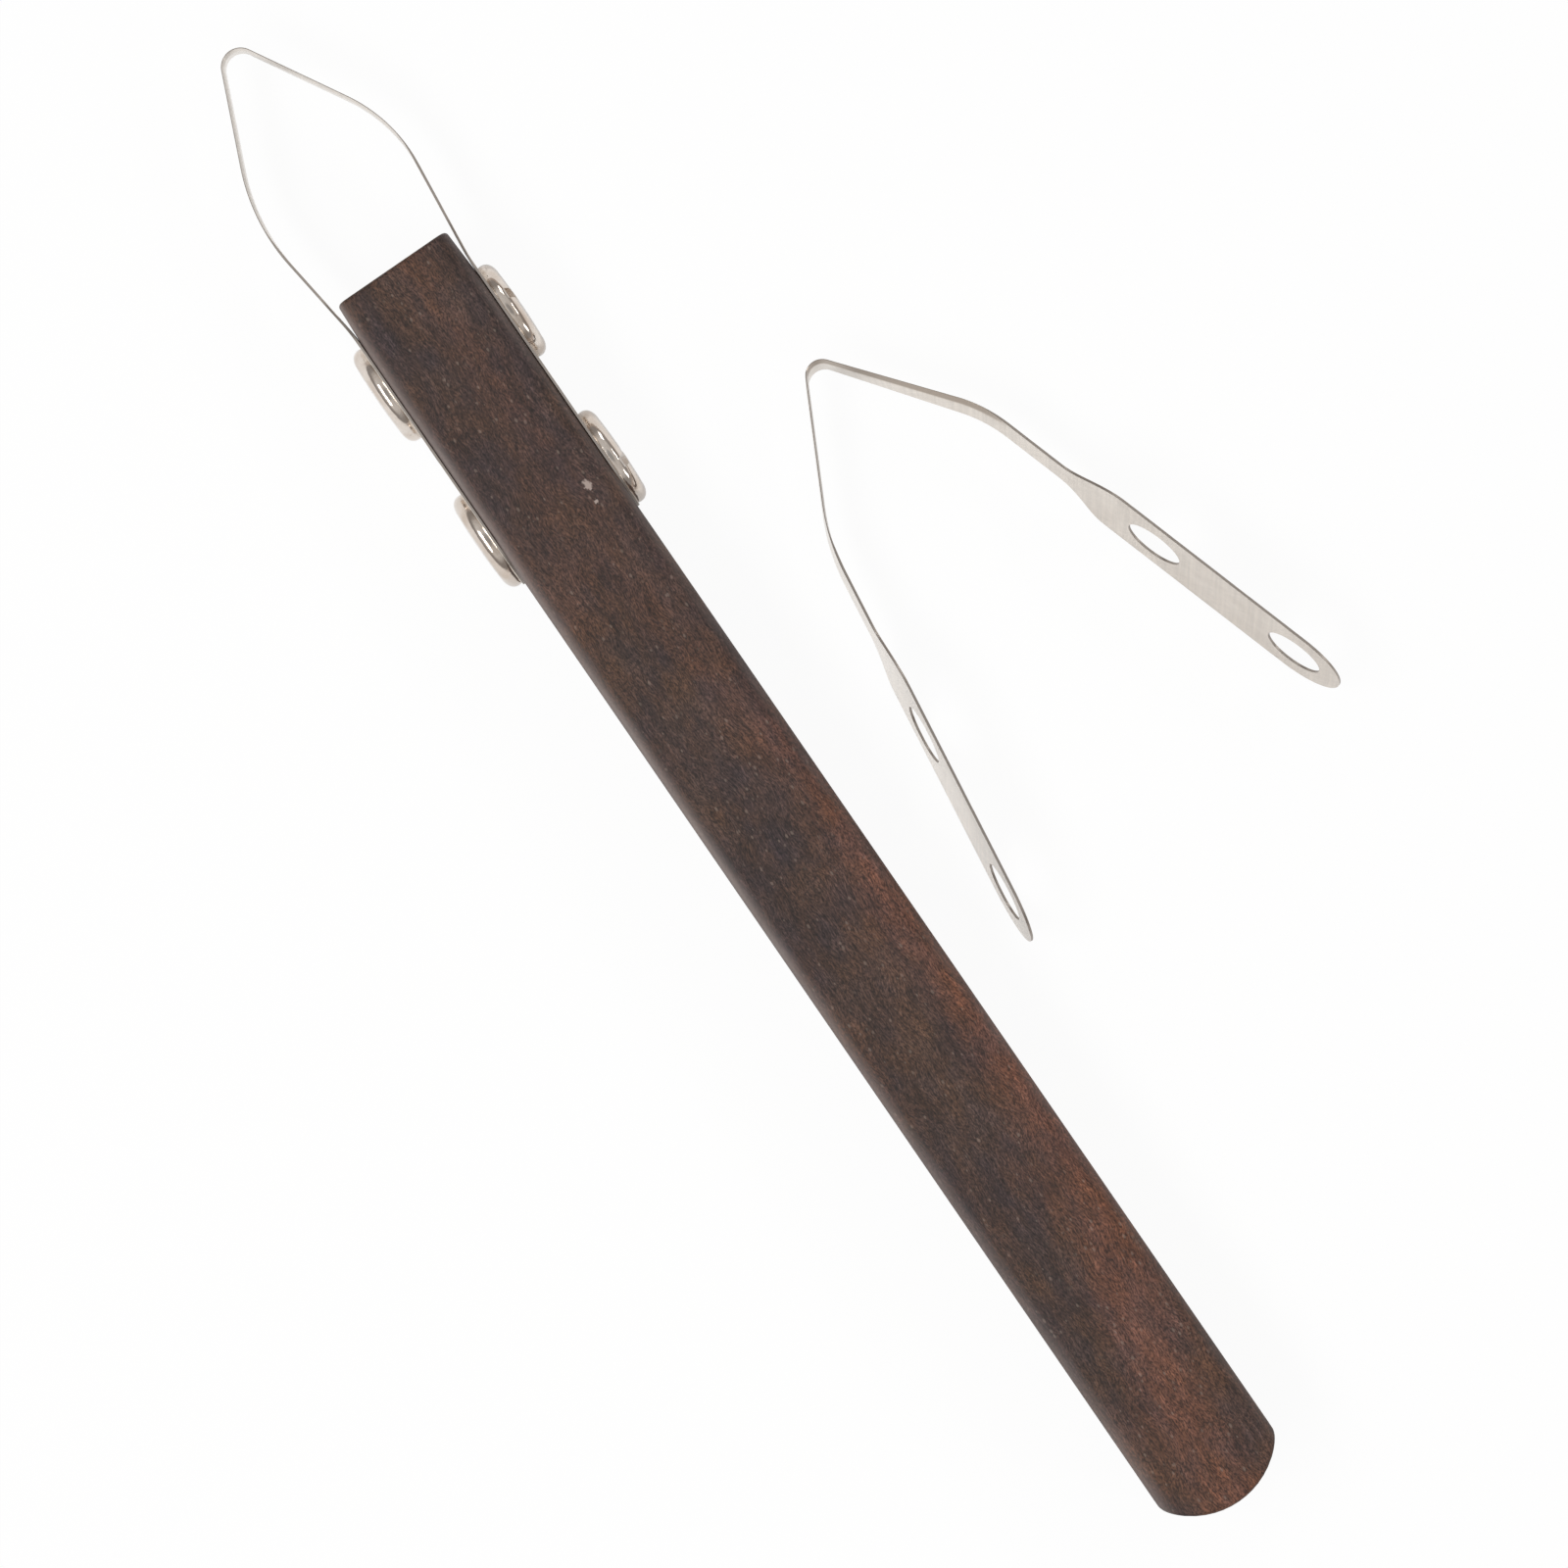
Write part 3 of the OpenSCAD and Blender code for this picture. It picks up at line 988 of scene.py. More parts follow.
        # Painted light: the plain side, where the light falls, gets more of the pale tone.
        rubbed_and_lit = self.plain_side_wear_and_light if p.y > 0 else self.screw_side_wear_and_light
        return near * held * (rubbed_and_lit + self.wear_and_light_blots * unevenness(p, self.wear_and_light_blot_size))

    def build(self, material: Material) -> None:
        """Builds the handle, drills it and dresses it.

        Args:
            material: The wood.
        """
        blank = self.skin().mesh("handle_blank")
        drilled = cut_away(blank, [self.bore_cutter(x) for x in self.bore_xs])
        marks = {"red_band": self.red_band, "edge_wear_and_painted_light": self.edge_wear_and_painted_light}
        place_piece("wooden_handle", drilled, material, "tool", "handle", marks)


# Blades


@dataclass(frozen=True)
class Stretch:
    """A straight or round stretch of the ribbon's line."""

    start: Vector
    heading: float
    length: float
    curve: float

    def at(self, distance: float) -> tuple[Vector, float]:
        """Follows the stretch.

        Args:
            distance: Distance along it.

        Returns:
            The point and the heading there.
        """
        turned = self.heading + self.curve * distance
        if abs(self.curve) < TINY:
            way = Vector((math.cos(turned), math.sin(turned)))
            return self.start + way * distance, turned
        swing_x = math.sin(turned) - math.sin(self.heading)
        swing_y = math.cos(self.heading) - math.cos(turned)
        return self.start + Vector((swing_x, swing_y)) / self.curve, turned


@dataclass(frozen=True)
class Corner:
    """A corner of the ribbon's middle line, in the horizontal plane, and its bend radius."""

    x: float
    y: float
    r: float = 0.0


class RibbonLine:
    """The ribbon's middle line, seen along the ribbon, as straight and round stretches."""

    def __init__(self, corners: Sequence[Vector], radii: Sequence[float]) -> None:
        """Rounds the corners.

        Args:
            corners: Corners of the line in the plane square to the ribbon.
            radii: Bend radius of each corner; the two ends have none.
        """
        self.stretches: list[Stretch] = []
        here = corners[0]
        for before, corner, after, r in zip(corners, corners[1:], corners[2:], radii[1:]):
            way_in = (corner - before).normalized()
            way_out = (after - corner).normalized()
            heading = math.atan2(way_in.y, way_in.x)
            turn = math.atan2(way_in.cross(way_out), way_in.dot(way_out))
            tangent = r * math.tan(abs(turn) / 2)
            bend_start = corner - way_in * tangent
            self.stretches.append(Stretch(here, heading, (bend_start - here).length, 0.0))
            curve = math.copysign(1 / r, turn)
            self.stretches.append(Stretch(bend_start, heading, abs(turn) * r, curve))
            here = corner + way_out * tangent
        last = corners[-1] - here
        self.stretches.append(Stretch(here, math.atan2(last.y, last.x), last.length, 0.0))
        self.length = sum(s.length for s in self.stretches)

    def at(self, distance: float) -> tuple[Vector, float]:
        """Follows the line.

        Args:
            distance: Distance from its start.

        Returns:
            The point and the heading there.
        """
        left = distance
        for stretch in self.stretches[:-1]:
            if left < stretch.length:
                return stretch.at(left)
            left -= stretch.length
        return self.stretches[-1].at(left)

    def stations(
        self, start: float, end: float, straight_step: float, turn_step: float
    ) -> list[float]:
        """Lays out points along the line, closer together where it bends.

        Args:
            start: First distance.
            end: Last distance.
            straight_step: Longest step on a straight stretch.
            turn_step: Largest turn in radians between two stations.

        Returns:
            The distances in order.
        """
        marks = [start]
        begun = 0.0
        for stretch in self.stretches:
            low = max(start, begun)
            high = min(end, begun + stretch.length)
            begun += stretch.length
            if high <= low + WELD:
                continue
            steps = math.ceil((high - low) / straight_step)
            if stretch.curve:
                steps = max(steps, math.ceil((high - low) * abs(stretch.curve) / turn_step))
            marks += evenly(low, high, steps)[1:]
        return marks


@dataclass
class RibbonBlade:
    """A bent strip with two pads, each with two holes, and a loop whose top edge is ground.

    A pad is laid out in rings of points between each hole and the pad's outline.
    """

    piece: str
    node: str
    body: str
    corners: tuple[Corner, ...]
    middle_z: float
    thickness: float
    lean: float = 0.0
    lean_heading: float = 0.0
    ribbon_w: float = 3.6
    pad_w: float = 10.4
    hole_d: float = 5.8
    hole_pitch: float = 16.4
    pad_lead: float = 4.7
    neck: float = 6.4
    tip_twist: float = 0.0
    bevel_h: float = 1.15
    bevel_fade: Ramp = Ramp(4.2, 8.4, 0.0, 1.0)
    # Share of the ground bevel's darker tone; below 1 the bevel is painted pale as a painted
    # reflection.
    ground_tone_share: float = 1.0
    edge_t: float = 0.07
    edge_soft: float = 0.025
    soften_from: float = 50.0
    crisp_from: float = 20.0
    rays_across: int = 16
    rays_beside: int = 10
    rays_round: int = 30
    ring_shares: tuple[float, ...] = (0.0, 0.12, 0.4, 0.7, 1.0)
    neck_steps: int = 14
    straight_step: float = 0.55
    turn_step: float = math.radians(4)

    def __post_init__(self) -> None:
        """Lays out the line in the plane square to the leaning ribbon."""
        lean_way = Vector((math.cos(self.lean_heading), math.sin(self.lean_heading), 0))
        up = Vector((0, 0, 1))
        self.along = (math.sin(self.lean) * lean_way + math.cos(self.lean) * up).normalized()
        self.axis_a = math.cos(self.lean) * lean_way - math.sin(self.lean) * up
        self.axis_b = Vector((-lean_way.y, lean_way.x, 0))
        flat = [Vector((c.x, c.y, 0)) for c in self.corners]
        seen = [Vector((p.dot(lean_way) * math.cos(self.lean), p.dot(self.axis_b))) for p in flat]
        self.line = RibbonLine(seen, [c.r for c in self.corners])
        tip = len(self.line.stretches) // 2
        tip_start = sum(s.length for s in self.line.stretches[:tip])
        tip_end = tip_start + self.line.stretches[tip].length
        shoulder = tip_end + self.line.stretches[tip + 1].length
        self.twist_marks = (tip_start, tip_end, shoulder)
        self.slants = [
            math.asin((ahead - end).normalized().dot(self.along))
            for end, ahead in ((flat[0], flat[1]), (flat[-1], flat[-2]))
        ]

    def twist(self, distance: float) -> float:
        """How far the strip is turned upright: most at the tip, fading to the next shoulder.

        Args:
            distance: Distance along the line.

        Returns:
            The turn in radians.
        """
        tip_start, tip_end, shoulder = self.twist_marks
        past_tip = smooth_share(tip_start, tip_end, distance)
        before_shoulder = clamped((shoulder - distance) / (shoulder - tip_end))
        return self.tip_twist * past_tip * before_shoulder

    def point(self, distance: float, height: float, offset: float) -> Vector:
        """Places a point of the bent strip.

        Args:
            distance: Distance along the line.
            height: Height along the ribbon, from its middle.
            offset: Distance outward from the strip's middle surface.

        Returns:
            The point in the frame's coordinates, in millimetres.
        """
        seen, heading = self.line.at(distance)
        outward = Vector((-math.sin(heading), math.cos(heading)))
        turned_in = (height + self.ribbon_w / 2) * math.tan(self.twist(distance))
        q = seen + outward * (offset - turned_in)
        level = seen.x * math.tan(self.lean) + height
        place = q.x * self.axis_a + q.y * self.axis_b + level * self.along
        return place + Vector((0, 0, self.middle_z))

    def leg_outlines(self) -> tuple[list[Point2], list[Point2]]:
        """Lays rays from the two holes to the pad's outline.

        Returns:
            For the rear and the front hole, pairs of angle and distance to the outline.
        """
        half = self.pad_w / 2
        ahead = self.hole_pitch / 2
        rear_corner = math.atan2(half, ahead)
        front_corner = math.atan2(half, self.pad_lead)
        back_corner = math.pi - rear_corner
        across = self.rays_across

        def reach(angle: float, forward: float, backward: float) -> float:
            """Distance from a hole's centre to the pad's straight edges.

            Args:
                angle: The ray's angle from the way forward.
                forward: Distance to the edge ahead.
                backward: Distance to the edge behind.

            Returns:
                The distance along the ray.
            """
            c = math.cos(angle)
            s = abs(math.sin(angle))
            limits = [half / s if s > TINY else math.inf]
            limits.append(forward / c if c > TINY else math.inf)
            limits.append(-backward / c if c < -TINY else math.inf)
            return min(limits)

        rear = (
            evenly(-rear_corner, rear_corner, across)[:-1]
            + evenly(rear_corner, QUARTER, self.rays_beside)[:-1]
            + evenly(QUARTER, 3 * QUARTER, self.rays_round)[:-1]
            + evenly(-QUARTER, -rear_corner, self.rays_beside)[:-1]
        )
        front = (
            evenly(-front_corner, front_corner, across)[:-1]
            + evenly(front_corner, back_corner, across)[:-1]
            + evenly(back_corner, math.tau - back_corner, across)[:-1]
            + evenly(-back_corner, -front_corner, across)[:-1]
        )
        rear_rays = [(a, half if math.cos(a) < TINY else reach(a, ahead, math.inf)) for a in rear]
        front_rays = [(a, reach(a, self.pad_lead, ahead)) for a in front]
        return rear_rays, front_rays

    def ribbon_rows(self) -> list[float]:
        """Shifts the even steps so that one lies at the bevel's foot.

        Returns:
            The heights of the ribbon's rows of points, from its middle.
        """
        foot = 1 - 2 * self.bevel_h / self.ribbon_w
        below = [h for h in evenly(-1.0, 1.0, self.rays_across) if h <= foot]
        stretch = (foot + 1) / (below[-1] + 1)
        shares = [(h + 1) * stretch - 1 for h in below]
        shares += evenly(foot, 1.0, self.rays_across + 1 - len(below))[1:]
        return [share * self.ribbon_w / 2 for share in shares]

    def lay_leg(self, flat: Skin, leg: int) -> float:
        """Adds a leg's pad and the neck that narrows to the ribbon.

        Args:
            flat: The flat strip.
            leg: 0 for the leg at the line's start, 1 for the one at its end.

        Returns:
            Distance along the line at which the neck ends.
        """
        slant = self.slants[leg]

        def lay(a: float, b: float, square: float = 1.0) -> Point3:
            """Lays a point of the leg's plate.

            Args:
                a: Distance along the leg, from the pad's end.
                b: Distance across it, from the middle.
                square: Share of the leg's slant that stays.

            Returns:
                The point (distance along the line, height, 0).
            """
            distance = a * math.cos(slant) - b * math.sin(slant) * square
            height = b / math.cos(slant)
            if leg:
                distance = self.line.length - distance
            return (distance, height, 0.0)

        rear_a = self.pad_w / 2
        front_a = rear_a + self.hole_pitch
        hole_r = self.hole_d / 2
        for centre, rays in zip((rear_a, front_a), self.leg_outlines()):
            rings = []
            for share in self.ring_shares:
                ring = []
                for angle, edge in rays:
                    r = hole_r + (edge - hole_r) * share
                    ring.append(lay(centre + r * math.cos(angle), r * math.sin(angle)))
                rings.append(flat.add_row(ring))
            flat.join_rows(rings, closed=True)

        pad_end = front_a + self.pad_lead
        front_corner = math.atan2(self.pad_w / 2, self.pad_lead)
        even = evenly(-1.0, 1.0, self.rays_across)
        pad_rows = [self.pad_lead * math.tan(front_corner * h) for h in even]
        columns = []
        for share in evenly(0.0, 1.0, self.neck_steps):
            fade = (1 - math.cos(math.pi * share)) / 2
            column = []
            for wide, narrow in zip(pad_rows, self.ribbon_rows()):
                b = wide + (narrow * math.cos(slant) - wide) * fade
                column.append(lay(pad_end + self.neck * share, b, 1 - fade))
            columns.append(flat.add_row(column))
        flat.join_rows(columns)
        return lay(pad_end + self.neck, 0.0)[0]

    def flat_strip(self) -> tuple[list[Point2], list[tuple[int, ...]]]:
        """Lays out the strip before bending.

        Returns:
            The points (distance along the line, height) and the faces between them.
        """
        flat = Skin()
        necks = [self.lay_leg(flat, leg) for leg in (0, 1)]
        stations = self.line.stations(*necks, self.straight_step, self.turn_step)
        rows = self.ribbon_rows()
        flat.join_rows([flat.add_row([(s, h, 0.0) for h in rows]) for s in stations])
        welded = flat.mesh("flat_strip")
        points = [(v.co.x, v.co.y) for v in welded.vertices]
        faces = [tuple(f.vertices) for f in welded.polygons]
        bpy.data.meshes.remove(welded)
        return points, faces

    def ground(self, distance: float, height: float) -> float:
        """Share of the bevel at a point.

        Args:
            distance: Distance along the line.
            height: Height along the ribbon, from its middle.

        Returns:
            0 below the bevel's foot and near the pads, up to 1 at the cutting edge.
        """
        leg = self.pad_w + self.hole_pitch + self.neck
        from_neck = min(distance, self.line.length - distance) - leg
        above = (height - (self.ribbon_w / 2 - self.bevel_h)) / self.bevel_h
        return clamped(above) * self.bevel_fade.at(from_neck)

    def mesh(self) -> Mesh:
        """Bends the strip and closes it.

        Returns:
            The closed mesh with softened edges, in millimetres.
        """
        points, faces = self.flat_strip()
        skin = Skin()
        half = self.thickness / 2
        outer, inner, bevel, far_end = [], [], [], []
        for distance, height in points:
            share = self.ground(distance, height)
            inset = -half + share * (self.thickness - self.edge_t)
            outer.append(skin.add(self.point(distance, height, half)))
            inner.append(skin.add(self.point(distance, height, inset)))
            # The bevel mark; a low share paints the bevel pale, a painted reflection of the floor.
            bevel += [0.0, share * self.ground_tone_share]
            far_end += [distance / self.line.length] * 2
        used: dict[tuple[int, int], None] = {}
        for face in faces:
            skin.faces.append(tuple(outer[i] for i in face))
            skin.faces.append(tuple(inner[i] for i in reversed(face)))
            used.update(dict.fromkeys(zip(face, face[1:] + face[:1])))
        broad = len(skin.faces)
        for i, j in used:
            if (j, i) not in used:
                skin.faces.append((outer[j], outer[i], inner[i], inner[j]))
        skin.marks = {"bevel": bevel, "far_end": far_end}
        cut_edge = [float(number >= broad) for number in range(len(skin.faces))]
        skin.face_marks = {"cut_edge": cut_edge}
        made = skin.mesh(self.piece)
        soften_edges(made, self.edge_soft, self.soften_from)
        return made

    def build(self, material: Material) -> None:
        """Builds the blade and dresses it.

        Args:
            material: The steel.
        """
        place_piece(
            self.piece, self.mesh(), material, self.body, self.node,
            sharp_angle=self.crisp_from,
        )


@dataclass
class BladeSet:
    """The fitted blade and the spare, cut and bent from the same strip.

    The fitted loop's tip and shoulders are given as the distance ahead of the handle's head
    end, and then the tip's Y or how far a shoulder lies outside its leg.
    """

    handle: Handle
    strip_t: float = 0.25
    knee_back: float = 2.9
    left_shoulder: Point2 = (11.0, 1.8)
    right_shoulder: Point2 = (11.6, 1.5)
    loop_tip: Point2 = (27.3, 1.2)
    left_r: float = 19.0
    right_r: float = 14.5
    tip_r: float = 1.7
    knee_r: float = 18.0
    # The fitted blade keeps little ground tone: its bevel is painted pale, a painted reflection of
    # the white floor.
    fitted_ground_share_painted_pale: float = 0.1
    spare_z: float = 5.1824
    spare_tip: Point2 = (41.2, -27.0)
    spare_leg: float = 41.3
    spare_splay: float = math.radians(25.2)
    spare_tip_angle: float = math.radians(64.3)
    spare_heading: float = math.radians(5.2)
    spare_lean: float = math.radians(16)
    spare_lean_heading: float = math.radians(-30)
    spare_tip_twist: float = math.radians(8)

    @property
    def pad_face_y(self) -> float:
        """Distance of a pad's outer face from the handle's middle line."""
        return self.handle.width / 2 + self.strip_t

    def fitted(self) -> RibbonBlade:
        """Lays out the blade that the binding screws hold.

        Returns:
            The blade, not yet built.
        """
        pad_end = self.handle.flat_end_x
        head = self.handle.half_length
        knee = head - self.knee_back
        leg_y = (self.handle.width + self.strip_t) / 2
        left_ahead, left_out = self.left_shoulder
        right_ahead, right_out = self.right_shoulder
        tip_ahead, tip_y = self.loop_tip
        corners = (
            Corner(pad_end, leg_y),
            Corner(knee, leg_y, self.knee_r),
            Corner(head + left_ahead, leg_y + left_out, self.left_r),
            Corner(head + tip_ahead, tip_y, self.tip_r),
            Corner(head + right_ahead, -leg_y - right_out, self.right_r),
            Corner(knee, -leg_y, self.knee_r),
            Corner(pad_end, -leg_y),
        )
        return RibbonBlade(
            "fitted_ribbon_blade", "blade", "tool", corners, self.handle.middle_z, self.strip_t,
            ground_tone_share=self.fitted_ground_share_painted_pale,
        )

    def spare(self) -> RibbonBlade:
        """Lays out the blade that lies beside the handle, sprung open.

        Returns:
            The blade, not yet built.
        """
        _, _, left, tip, right, _, _ = self.fitted().corners
        uppers = [math.dist((a.x, a.y), (b.x, b.y)) for a, b in ((left, tip), (tip, right))]
        upper = sum(uppers) / 2
        tip_x, tip_y = self.spare_tip
        ends, shoulders = [], []
        for side, r in ((Side.PLAIN, self.left_r), (Side.SCREW, self.right_r)):
            to_tip = self.spare_heading - side.value * self.spare_tip_angle / 2
            along = self.spare_heading - side.value * self.spare_splay / 2
            x = tip_x - upper * math.cos(to_tip)
            y = tip_y - upper * math.sin(to_tip)
            shoulders.append(Corner(x, y, r))
            leg_x, leg_y = self.spare_leg * math.cos(along), self.spare_leg * math.sin(along)
            ends.append(Corner(x - leg_x, y - leg_y))
        corners = (ends[0], shoulders[0], Corner(tip_x, tip_y, self.tip_r), shoulders[1], ends[1])
        return RibbonBlade(
            "spare_ribbon_blade", "spare_blade", "spare", corners, self.spare_z, self.strip_t,
            self.spare_lean, self.spare_lean_heading, tip_twist=self.spare_tip_twist,
        )


# Binding screws


@dataclass
class BindingHead:
    """The low domed head that both halves of a binding screw share."""

    diameter: float = 10.0
    height: float = 1.5
    top_d: float = 7.2
    crown: float = 0.12
    waist_h: float = 0.34
    waist_in: float = 0.04
    squareness: float = 2.15
    edge_steps: int = 26
    foot_steps: int = 5
    top_steps: int = 10

    def profile(self) -> list[Point2]:
        """Lays out the head's half section.

        Returns:
            Its points, from the underside's edge to the middle of the top.
        """
        radius = self.diameter / 2
        top_r = self.top_d / 2
        edge_r = radius - top_r
        edge_h = self.height - self.crown - self.waist_h
        foot = []
        for share in evenly(0.0, 1.0, self.foot_steps)[:-1]:
            foot.append((radius - self.waist_in * (1 - share) ** 2, self.waist_h * share))
        power = 2 / self.squareness
        edge = []
        for turn in evenly(0.0, QUARTER, self.edge_steps):
            out = max(0.0, math.cos(turn)) ** power
            up = max(0.0, math.sin(turn)) ** power
            edge.append((top_r + edge_r * out, self.waist_h + edge_h * up))
        top = []
        for share in evenly(1.0, 0.0, self.top_steps)[1:]:
            top.append((top_r * share, self.height - self.crown * share**2))
        return foot + edge + top


@dataclass
class Thread:
    """A screw thread on a shank or in a bore."""

    pitch: float = 0.7
    depth: float = 0.3
    run_out: float = 0.8
    flank_slope: float = 4.4
    crest: float = 0.6
    steps_per_pitch: int = 10

    def wall(self, radius: float, first: float, last: float) -> list[Point2]:
        """Half section of a wall fine enough for the thread, from one height to another."""
        steps = round(abs(last - first) / self.pitch * self.steps_per_pitch)
        return [(radius, height) for height in evenly(first, last, steps)]

    def wave(self, turn: float, height: float, low: float, high: float) -> float:
        """Depth of the thread below its crest.

        Args:
            turn: Angle about the axis.
            height: Height along the axis.
            low: Lower end of the thread.
            high: Upper end of the thread.

        Returns:
            The depth in millimetres, which fades over the run-out at both ends.
        """
        phase = (height / self.pitch - turn / math.tau) % 1.0
        shape = clamped(self.flank_slope * abs(phase - 0.5) - self.crest)
        near = min(height - low, high - height)
        return self.depth * shape * clamped(near / self.run_out)

    def ripple(self, low: float, high: float, numbers: range, outward: float) -> Ripple:
        """Prepares the thread for a turned profile.

        Args:
            low: Lower end of the thread.
            high: Upper end of the thread.
            numbers: The profile's points that are cut.
            outward: Share of the depth that the cut goes outward, below 0 for inward.

        Returns:
            The change of radius at (turn, height, profile index).
        """

        def change(turn: float, height: float, index: int) -> float:
            """Change of radius at one point of the profile."""
            return outward * self.wave(turn, height, low, high) if index in numbers else 0.0

        return change


@dataclass
class BindingFastener:
    """What the two halves of a binding screw have in common."""

    node: str
    x: float
    side: Side
    pad_face_y: float
    middle_z: float
    head: BindingHead = field(default_factory=BindingHead)
    thread: Thread = field(default_factory=Thread)
    shank_d: float = 4.0
    around: int = 144
    crisp_from: float = 28.0

    @property
    def piece(self) -> str:
        """Name of the piece."""
        return f"binding_{self.node}"

    def stand(self) -> Matrix:
        """Stands a half, built about Z with its head up, on the blade's pad.

        Returns:
            The matrix that does it.
        """
        side = self.side.value
        axes = Matrix(((0, -1, 0), (0, 0, side), (-side, 0, 0))).to_4x4()
        return Matrix.Translation((self.x, side * self.pad_face_y, self.middle_z)) @ axes

    def build(self, material: Material) -> None:
        """Builds this half and dresses it.

        Args:
            material: The nickel.
        """
        mesh = self.mesh()
        mesh.transform(self.stand())
        place_piece(
            self.piece, mesh, material, self.node, self.node,
            sharp_angle=self.crisp_from,
        )

    def mesh(self) -> Mesh:
        """The half about Z, with its head's underside at 0."""
        raise NotImplementedError


@dataclass
class BindingPost(BindingFastener):
    """Female half: a plain head on a barrel with a threaded bore."""

    barrel_d: float = 5.0
    barrel_l: float = 12.975
    barrel_top: float = 0.3
    bore_clearance: float = 0.05
    bore_thread_share: float = 0.6
    closed_end: float = 1.2
    mouth_chamfer: float = 0.2

    def mesh(self) -> Mesh:
        """Turns the post.

        Returns:
            The mesh about Z, with its head's underside at 0.
        """
        bore_r = self.shank_d / 2 + self.bore_clearance
        outer_r = self.barrel_d / 2
        mouth = -self.barrel_l
        floor = -self.closed_end
        chamfer = self.mouth_chamfer
        bore_start = mouth + chamfer
        wall = self.thread.wall(bore_r, floor, bore_start)
        outside = [
            (bore_r + chamfer, mouth),
            (outer_r - chamfer, mouth),
            (outer_r, mouth + chamfer),
            (outer_r, mouth + 2 * chamfer),
            (outer_r, -self.barrel_top),
            (outer_r, 0.0),
        ]
        profile = [(0.0, floor), *wall, *outside, *self.head.profile()]
        threaded = range(1, 1 + len(wall))
        ripple = self.thread.ripple(bore_start, floor, threaded, self.bore_thread_share)
        return turned_mesh(self.piece, profile, self.around, ripple)


@dataclass
class BindingScrew(BindingFastener):
    """Male half: a slotted head on a threaded shank."""

    shank_l: float = 9.0
    plain_l: float = 0.4
    tip_chamfer: float = 0.35
    slot_w: float = 1.1
    slot_depth: float = 0.7
    slot_soft: float = 0.12
    slot_soft_middle: float = 0.3
    slot_turn: float = 0.0
    cutter_above: float = 1.0

    def slot_cutter(self) -> Mesh:
        """Makes the bar that cuts the driver slot.

        Returns:
            A bar with a slightly rounded floor.
        """
        half = self.slot_w / 2
        floor = self.head.height - self.slot_depth
        top = self.head.height + self.cutter_above
        soft = self.slot_soft
        middle = soft * self.slot_soft_middle
        left = [
            (-half, top), (-half, floor + soft), (-half + middle, floor + middle),
            (-half + soft, floor),
        ]
        section = left + [(-y, z) for y, z in reversed(left)]
        skin = Skin()
        reach = self.head.diameter
        rows = [skin.add_row([(x, y, z) for y, z in section]) for x in (-reach, reach)]
        skin.join_rows(rows, closed=True)
        skin.faces += [tuple(rows[0]), tuple(reversed(rows[1]))]
        mesh = skin.mesh("slot")
        mesh.transform(Matrix.Rotation(self.slot_turn, 4, "Z"))
        return mesh

    def mesh(self) -> Mesh:
        """Turns the screw and cuts its slot.

        Returns:
            The mesh about Z, with its head's underside at 0.
        """
        r = self.shank_d / 2
        tip = -self.shank_l
        shank = self.thread.wall(r, tip + self.tip_chamfer, 0.0)
        profile = [(0.0, tip), (r - self.tip_chamfer, tip), *shank, *self.head.profile()]
        past_tip = tip - self.thread.run_out
        threaded = range(2, 2 + len(shank))
        ripple = self.thread.ripple(past_tip, -self.plain_l, threaded, -1.0)
        return cut_away(turned_mesh(self.piece, profile, self.around, ripple), [self.slot_cutter()])


@dataclass
class BindingSet:
    """The two posts and the two screws that hold the fitted blade's pads."""

    handle: Handle
    pad_face_y: float
    slot_turns: Point2 = (math.radians(-15), math.radians(15))

    def build(self, material: Material) -> None:
        """Builds the posts and then the screws, the front one first.

        Args:
            material: The nickel.
        """
        stand = {"pad_face_y": self.pad_face_y, "middle_z": self.handle.middle_z}
        pairs = list(zip(("front", "rear"), self.handle.bore_xs, self.slot_turns))
        for place, x, _ in pairs:
            BindingPost(f"post_{place}", x, Side.PLAIN, **stand).build(material)
        for place, x, turn in pairs:
            screw = BindingScrew(f"screw_{place}", x, Side.SCREW, **stand, slot_turn=turn)
            screw.build(material)


# Room


@dataclass(frozen=True)
class SoftBox:
    """An area lamp that looks at the tool and gives the floor a share of full white."""

    name: str
    way: Point3
    distance: float
    size: Point2
    white: float

    def hang(self) -> None:
        """Hangs the lamp, with its power worked out from its share of white."""
        way = Vector(self.way).normalized()
        lamp = bpy.data.lights.new(self.name, "AREA")
        lamp.shape = "RECTANGLE"
        lamp.size, lamp.size_y = self.size
        lamp.energy = self.white * (math.pi * self.distance) ** 2 / way.z
        piece = new_object(self.name, lamp)
        piece.location = way * self.distance
        piece.rotation_euler = way.to_track_quat("Z", "Y").to_euler()


